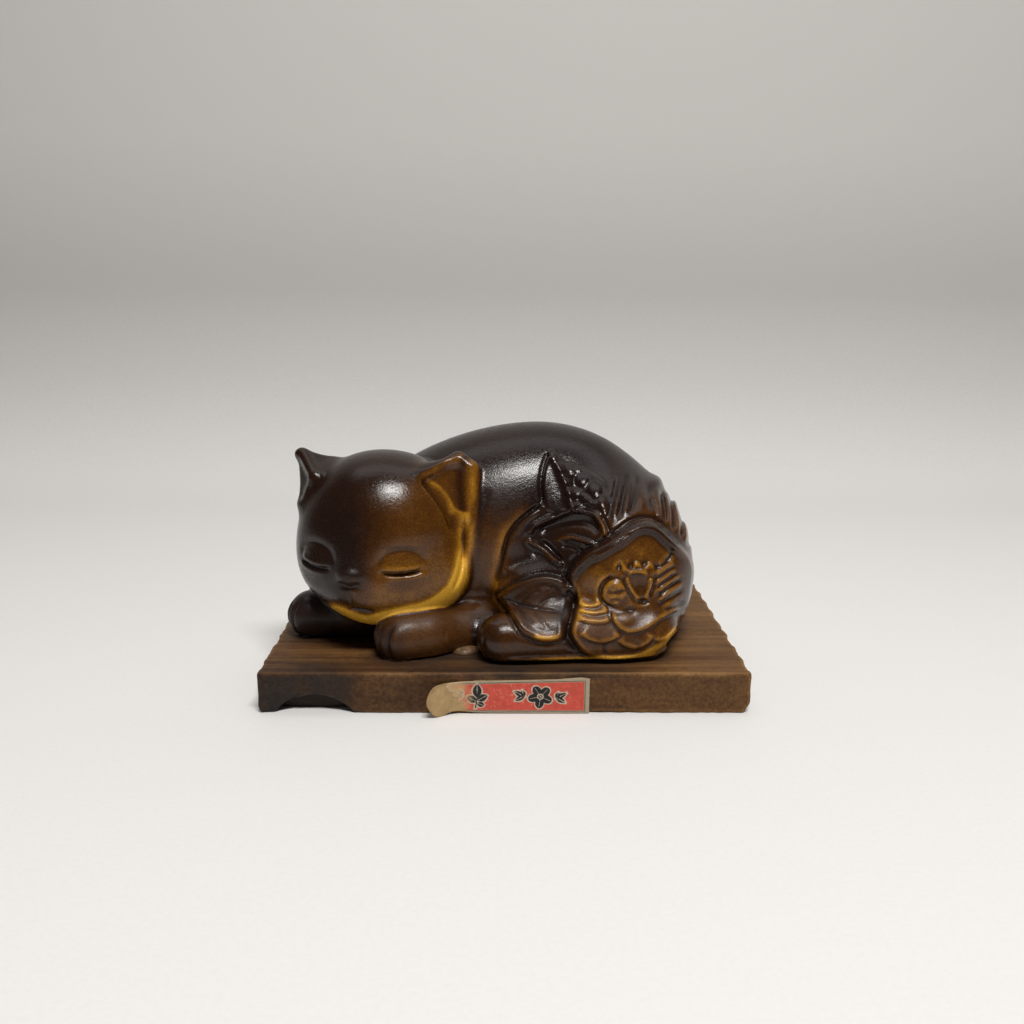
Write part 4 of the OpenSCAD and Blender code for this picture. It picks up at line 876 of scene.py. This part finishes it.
def leafpair(s, z, cs, cz, sg):
    """two slim leaves on a short stalk"""
    out = np.full(s.shape, 9.0)
    for an, ln in ((28, 1.55), (-30, 1.4), (75, 0.9)):
        c, d = math.cos(math.radians(an)) * -sg, math.sin(math.radians(an)); x, y = s - cs - c * ln * 0.75, z - cz - d * ln * 0.75
        u = (x * c + y * d) / ln; w = -x * d + y * c; k = np.abs(w) - 0.62 * np.clip(1 - u * u, 0, 1); k = np.where(np.abs(u) > 1, np.maximum(k, (np.abs(u) - 1) * ln), k)
        out = np.minimum(out, np.maximum(k, 0.08 - np.abs(w)))
    return out
def ink_face(s, z, sd, outer):
    n = len(s); paper = np.array([0.50, 0.42, 0.30]); red = np.array([0.70, 0.105, 0.072]); black = np.array([0.022, 0.022, 0.024]); pale = np.array([0.70, 0.58, 0.45])
    P = np.stack([s, z, 0 * s], 1).astype(f32); n1 = vnoise(P, 0.9, 21); n2 = vnoise(P, 0.35, 22); n3 = vnoise(P, 3.0, 23)
    c = np.tile(paper, (n, 1)) * (0.95 + 0.06 * n1)[:, None]
    if not outer: return c
    top = 9.1 - 0.0225 * s; bot = 0.2 + 0.004 * s
    # dark rule round the field
    dr = np.minimum(np.minimum(s - 1.1, top - 0.62 - z), z - bot - 0.50); rule = sst(0.14, 0.05, np.abs(dr + 0.05)) * (0.80 + 0.25 * n1)
    field = sst(0.10, 0.24, dr)
    rr = red * (1.0 + 0.10 * n1 + 0.06 * n2)[:, None]
    rr = rr * (1 - sst(0.72, 1.05, n2 + 0.35 * n3)[:, None] * 0.35) + pale * sst(0.72, 1.05, n2 + 0.35 * n3)[:, None] * 0.35
    c = c * (1 - field[:, None]) + rr * field[:, None]
    c = c * (1 - np.clip(rule, 0, 1)[:, None]) + black * np.clip(rule, 0, 1)[:, None]
    one = np.minimum(blossom(s, z, 11.9, 4.45, 3.0), np.minimum(leafpair(s, z, 7.9, 4.1, 1), leafpair(s, z, 15.9, 4.6, -1)))
    two = np.minimum(sprig(s, z, 27.2, 4.3, 3.0), np.maximum(leafpair(s, z, 31.0, 4.9, -1), 0.35 - np.abs(n2)))
    for k in (one, two):
        halo = sst(0.42, 0.22, k); c = c * (1 - halo[:, None]) + pale * (1 + 0.05 * n1)[:, None] * halo[:, None]
        m = sst(0.06, -0.04, k + 0.05 * n2); c = c * (1 - m[:, None]) + black * m[:, None]
    # print rubbed and soaked off towards the torn end
    wr = sst(26.5, 33.5, s + 1.6 * n3 + 1.0 * n1) * 0.95; tan = np.array([0.62, 0.43, 0.22]); c = c * (1 - wr[:, None]) + tan * (1 + 0.08 * n1)[:, None] * wr[:, None]
    torn = sst(-0.35, -0.05, sd) * sst(29, 31, s); c = c * (1 - torn[:, None]) + np.array([0.64, 0.50, 0.31]) * torn[:, None]
    return c
def ink_core(s, z, sd, outer):
    P = np.stack([s, z, 0 * s], 1).astype(f32); n1 = vnoise(P, 1.2, 31); n2 = vnoise(P, 0.5, 32)
    c = np.tile(np.array([0.50, 0.345, 0.165]), (len(s), 1)) * (0.98 + 0.13 * n1 + 0.06 * n2)[:, None]
    e = sst(-0.9, -0.1, sd)[:, None]; return c * (1 - 0.25 * e) + np.array([0.30, 0.17, 0.07]) * 0.25 * e
def paper_material(name):
    M = Mat(name)
    _, _, _, col = M.attr("ink")
    fib = M.noise(M.coord(), 3800, 4, 0.7); mot = M.noise(M.coord(), 500, 3, 0.6)
    c = M.mix(0.22, col, M.ramp(fib, [(0.3, (0.35, 0.28, 0.20)), (0.7, (1, 1, 1))]), "MULTIPLY")
    c = M.mix(0.18, c, M.ramp(mot, [(0.35, (0.50, 0.40, 0.28)), (0.65, (1, 1, 1))]), "MULTIPLY")
    M.set(Base_Color=c, Roughness=M.math("MULTIPLY_ADD", fib, 0.2, 0.62), Normal=M.bump(fib, 0.35, 0.00006), Specular_IOR_Level=0.3)
    return M
def make_label():
    st = 0.1
    a = sheet_mesh("label_print", 0.0, 36.0, 0.24, 0.08, FACE, st, ink_face, 0.10)
    dress(a, paper_material("label_print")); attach(a, "root"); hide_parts("label_face")
    b = sheet_mesh("label_backing", 0.0, 41.0, 0.08, 0.16, CORE, max(st, 0.14), ink_core, 0.10)
    dress(b, paper_material("label_paper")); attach(b, "root"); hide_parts("label_core")
make_label()

# ---------------------------------------------------------------- glue
def glue_base(P):
    a = ell(P, (-10.2, -21.6, BH), (3.3, 3.0, 1.75))
    b = ell(P, (-12.2, -19.0, BH), (3.0, 2.6, 1.1))
    d = smin(smin(a, b, 1.2), ell(P, (-7.6, -19.4, BH), (2.2, 2.6, 1.2)), 1.2)
    return np.maximum(d, BH - 0.05 - P[..., 2])          # flat underneath, where it meets the board
def glue_full(P):
    # the lump in the nook, cut back where it meets the figure
    d = glue_base(P) + 0.10 * vnoise(P, 1.1, 41)
    return np.maximum(d, -fig(P) - 0.15)
def glue_material():
    M = Mat("dried_glue"); c = M.coord(); a = M.noise(c, 900, 3, 0.6); b = M.noise(c, 2600, 2, 0.6)
    M.set(Base_Color=M.ramp(a, [(0.3, (0.085, 0.042, 0.018)), (0.55, (0.15, 0.082, 0.036)), (0.75, (0.22, 0.135, 0.065))]), Roughness=M.math("MULTIPLY_ADD", a, 0.3, 0.32), Normal=M.bump(b, 0.3, 0.0001), Subsurface_Weight=0.0)
    return M
def make_glue():
    V, lo, vx, _, _ = net(glue_base, glue_full, (-18, -27, BH - 1.2), (-2, -13, BH + 3.9), 0.25, 1.0)
    X, Q = surface(V, lo, vx)
    X[:, 2] = np.maximum(X[:, 2], BH - 0.05)
    GM = glue_material()
    ob = mesh_object("glue_lump", X, Q); dress(ob, GM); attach(ob, "root")
    # bed under the figure: an outline walked round the base, with a soft wet edge
    n = 220; c = np.array([8.0, 2.0]); out = []
    for i in range(n):
        a = 2 * math.pi * i / n; d = np.array([math.cos(a), math.sin(a)]); r = np.arange(2, 66, 0.15)
        pts = np.stack([c[0] + r * d[0], c[1] + r * d[1], np.full(r.shape, T + 0.35)], 1).astype(f32)
        s = fig(pts) < 0; k = np.nonzero(~s)[0]; k = k[0] if len(k) else len(r) - 1; out.append(r[k])
    out = np.array(out); sm = out.copy()
    for _ in range(2): sm = np.minimum(out, (np.roll(sm, 1) + sm + np.roll(sm, -1)) / 3)
    ang = 2 * np.pi * np.arange(n) / n; rows = []
    wob = 0.25 * np.sin(ang * 9) + 0.18 * np.sin(ang * 23 + 1)
    for off, z in ((0.55, BH + 0.01), (0.35, BH + 0.28), (-0.10, BH + 0.44), (-1.2, BH + 0.49)):
        r = sm - 0.6 + off + wob * (off > 0); rows.append(np.stack([c[0] + r * np.cos(ang), c[1] + r * np.sin(ang), np.full(n, z)], 1))
    X = np.concatenate(rows + [[[c[0], c[1], BH + 0.49]], [[c[0], c[1], BH + 0.01]]]); F = []
    i = np.arange(n); j = (i + 1) % n
    for k in range(3): F.append(np.stack([k * n + i, k * n + j, (k + 1) * n + j, (k + 1) * n + i], 1))
    F = np.concatenate(F); tri = np.concatenate([np.stack([3 * n + i, 3 * n + j, np.full(n, 4 * n)], 1), np.stack([j, i, np.full(n, 4 * n + 1)], 1)])
    me = bpy.data.meshes.new("glue_bed_wet"); me.from_pydata([tuple(p / 1000) for p in X], [], [tuple(map(int, f)) for f in F] + [tuple(map(int, f)) for f in tri])
    me.polygons.foreach_set("use_smooth", np.ones(len(me.polygons), bool))
    g = bpy.data.objects.new("glue_bed_wet", me); scene.collection.objects.link(g); dress(g, GM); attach(g, "root")
    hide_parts("glue_bed")
make_glue()

# ---------------------------------------------------------------- CAD pieces that stay
def steel_material():
    M = Mat("screw_steel"); c = M.coord(); a = M.noise(c, 1400, 3, 0.6); b = M.noise(M.coord((300, 300, 4000)), 1.0, 2, 0.5)
    M.set(Base_Color=M.ramp(a, [(0.3, (0.42, 0.33, 0.16)), (0.7, (0.66, 0.58, 0.36))]), Metallic=1.0, Roughness=M.math("MULTIPLY_ADD", a, 0.25, 0.25), Normal=M.bump(b, 0.2, 0.00005))
    return M
def paste_material():
    M = Mat("paste"); c = M.coord(); a = M.noise(c, 1100, 3, 0.6)
    M.set(Base_Color=M.ramp(a, [(0.3, (0.30, 0.21, 0.11)), (0.7, (0.48, 0.36, 0.2))]), Roughness=0.7, Normal=M.bump(a, 0.3, 0.0001))
    return M
for node, mat in (("fixing_screws", steel_material()), ("label_paste", paste_material())):
    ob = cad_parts[node]
    ob = ob if hasattr(ob, "data") else bpy.data.objects[ob]
    for s in ob.material_slots: s.material = mat.m
    if not ob.material_slots: ob.data.materials.append(mat.m)
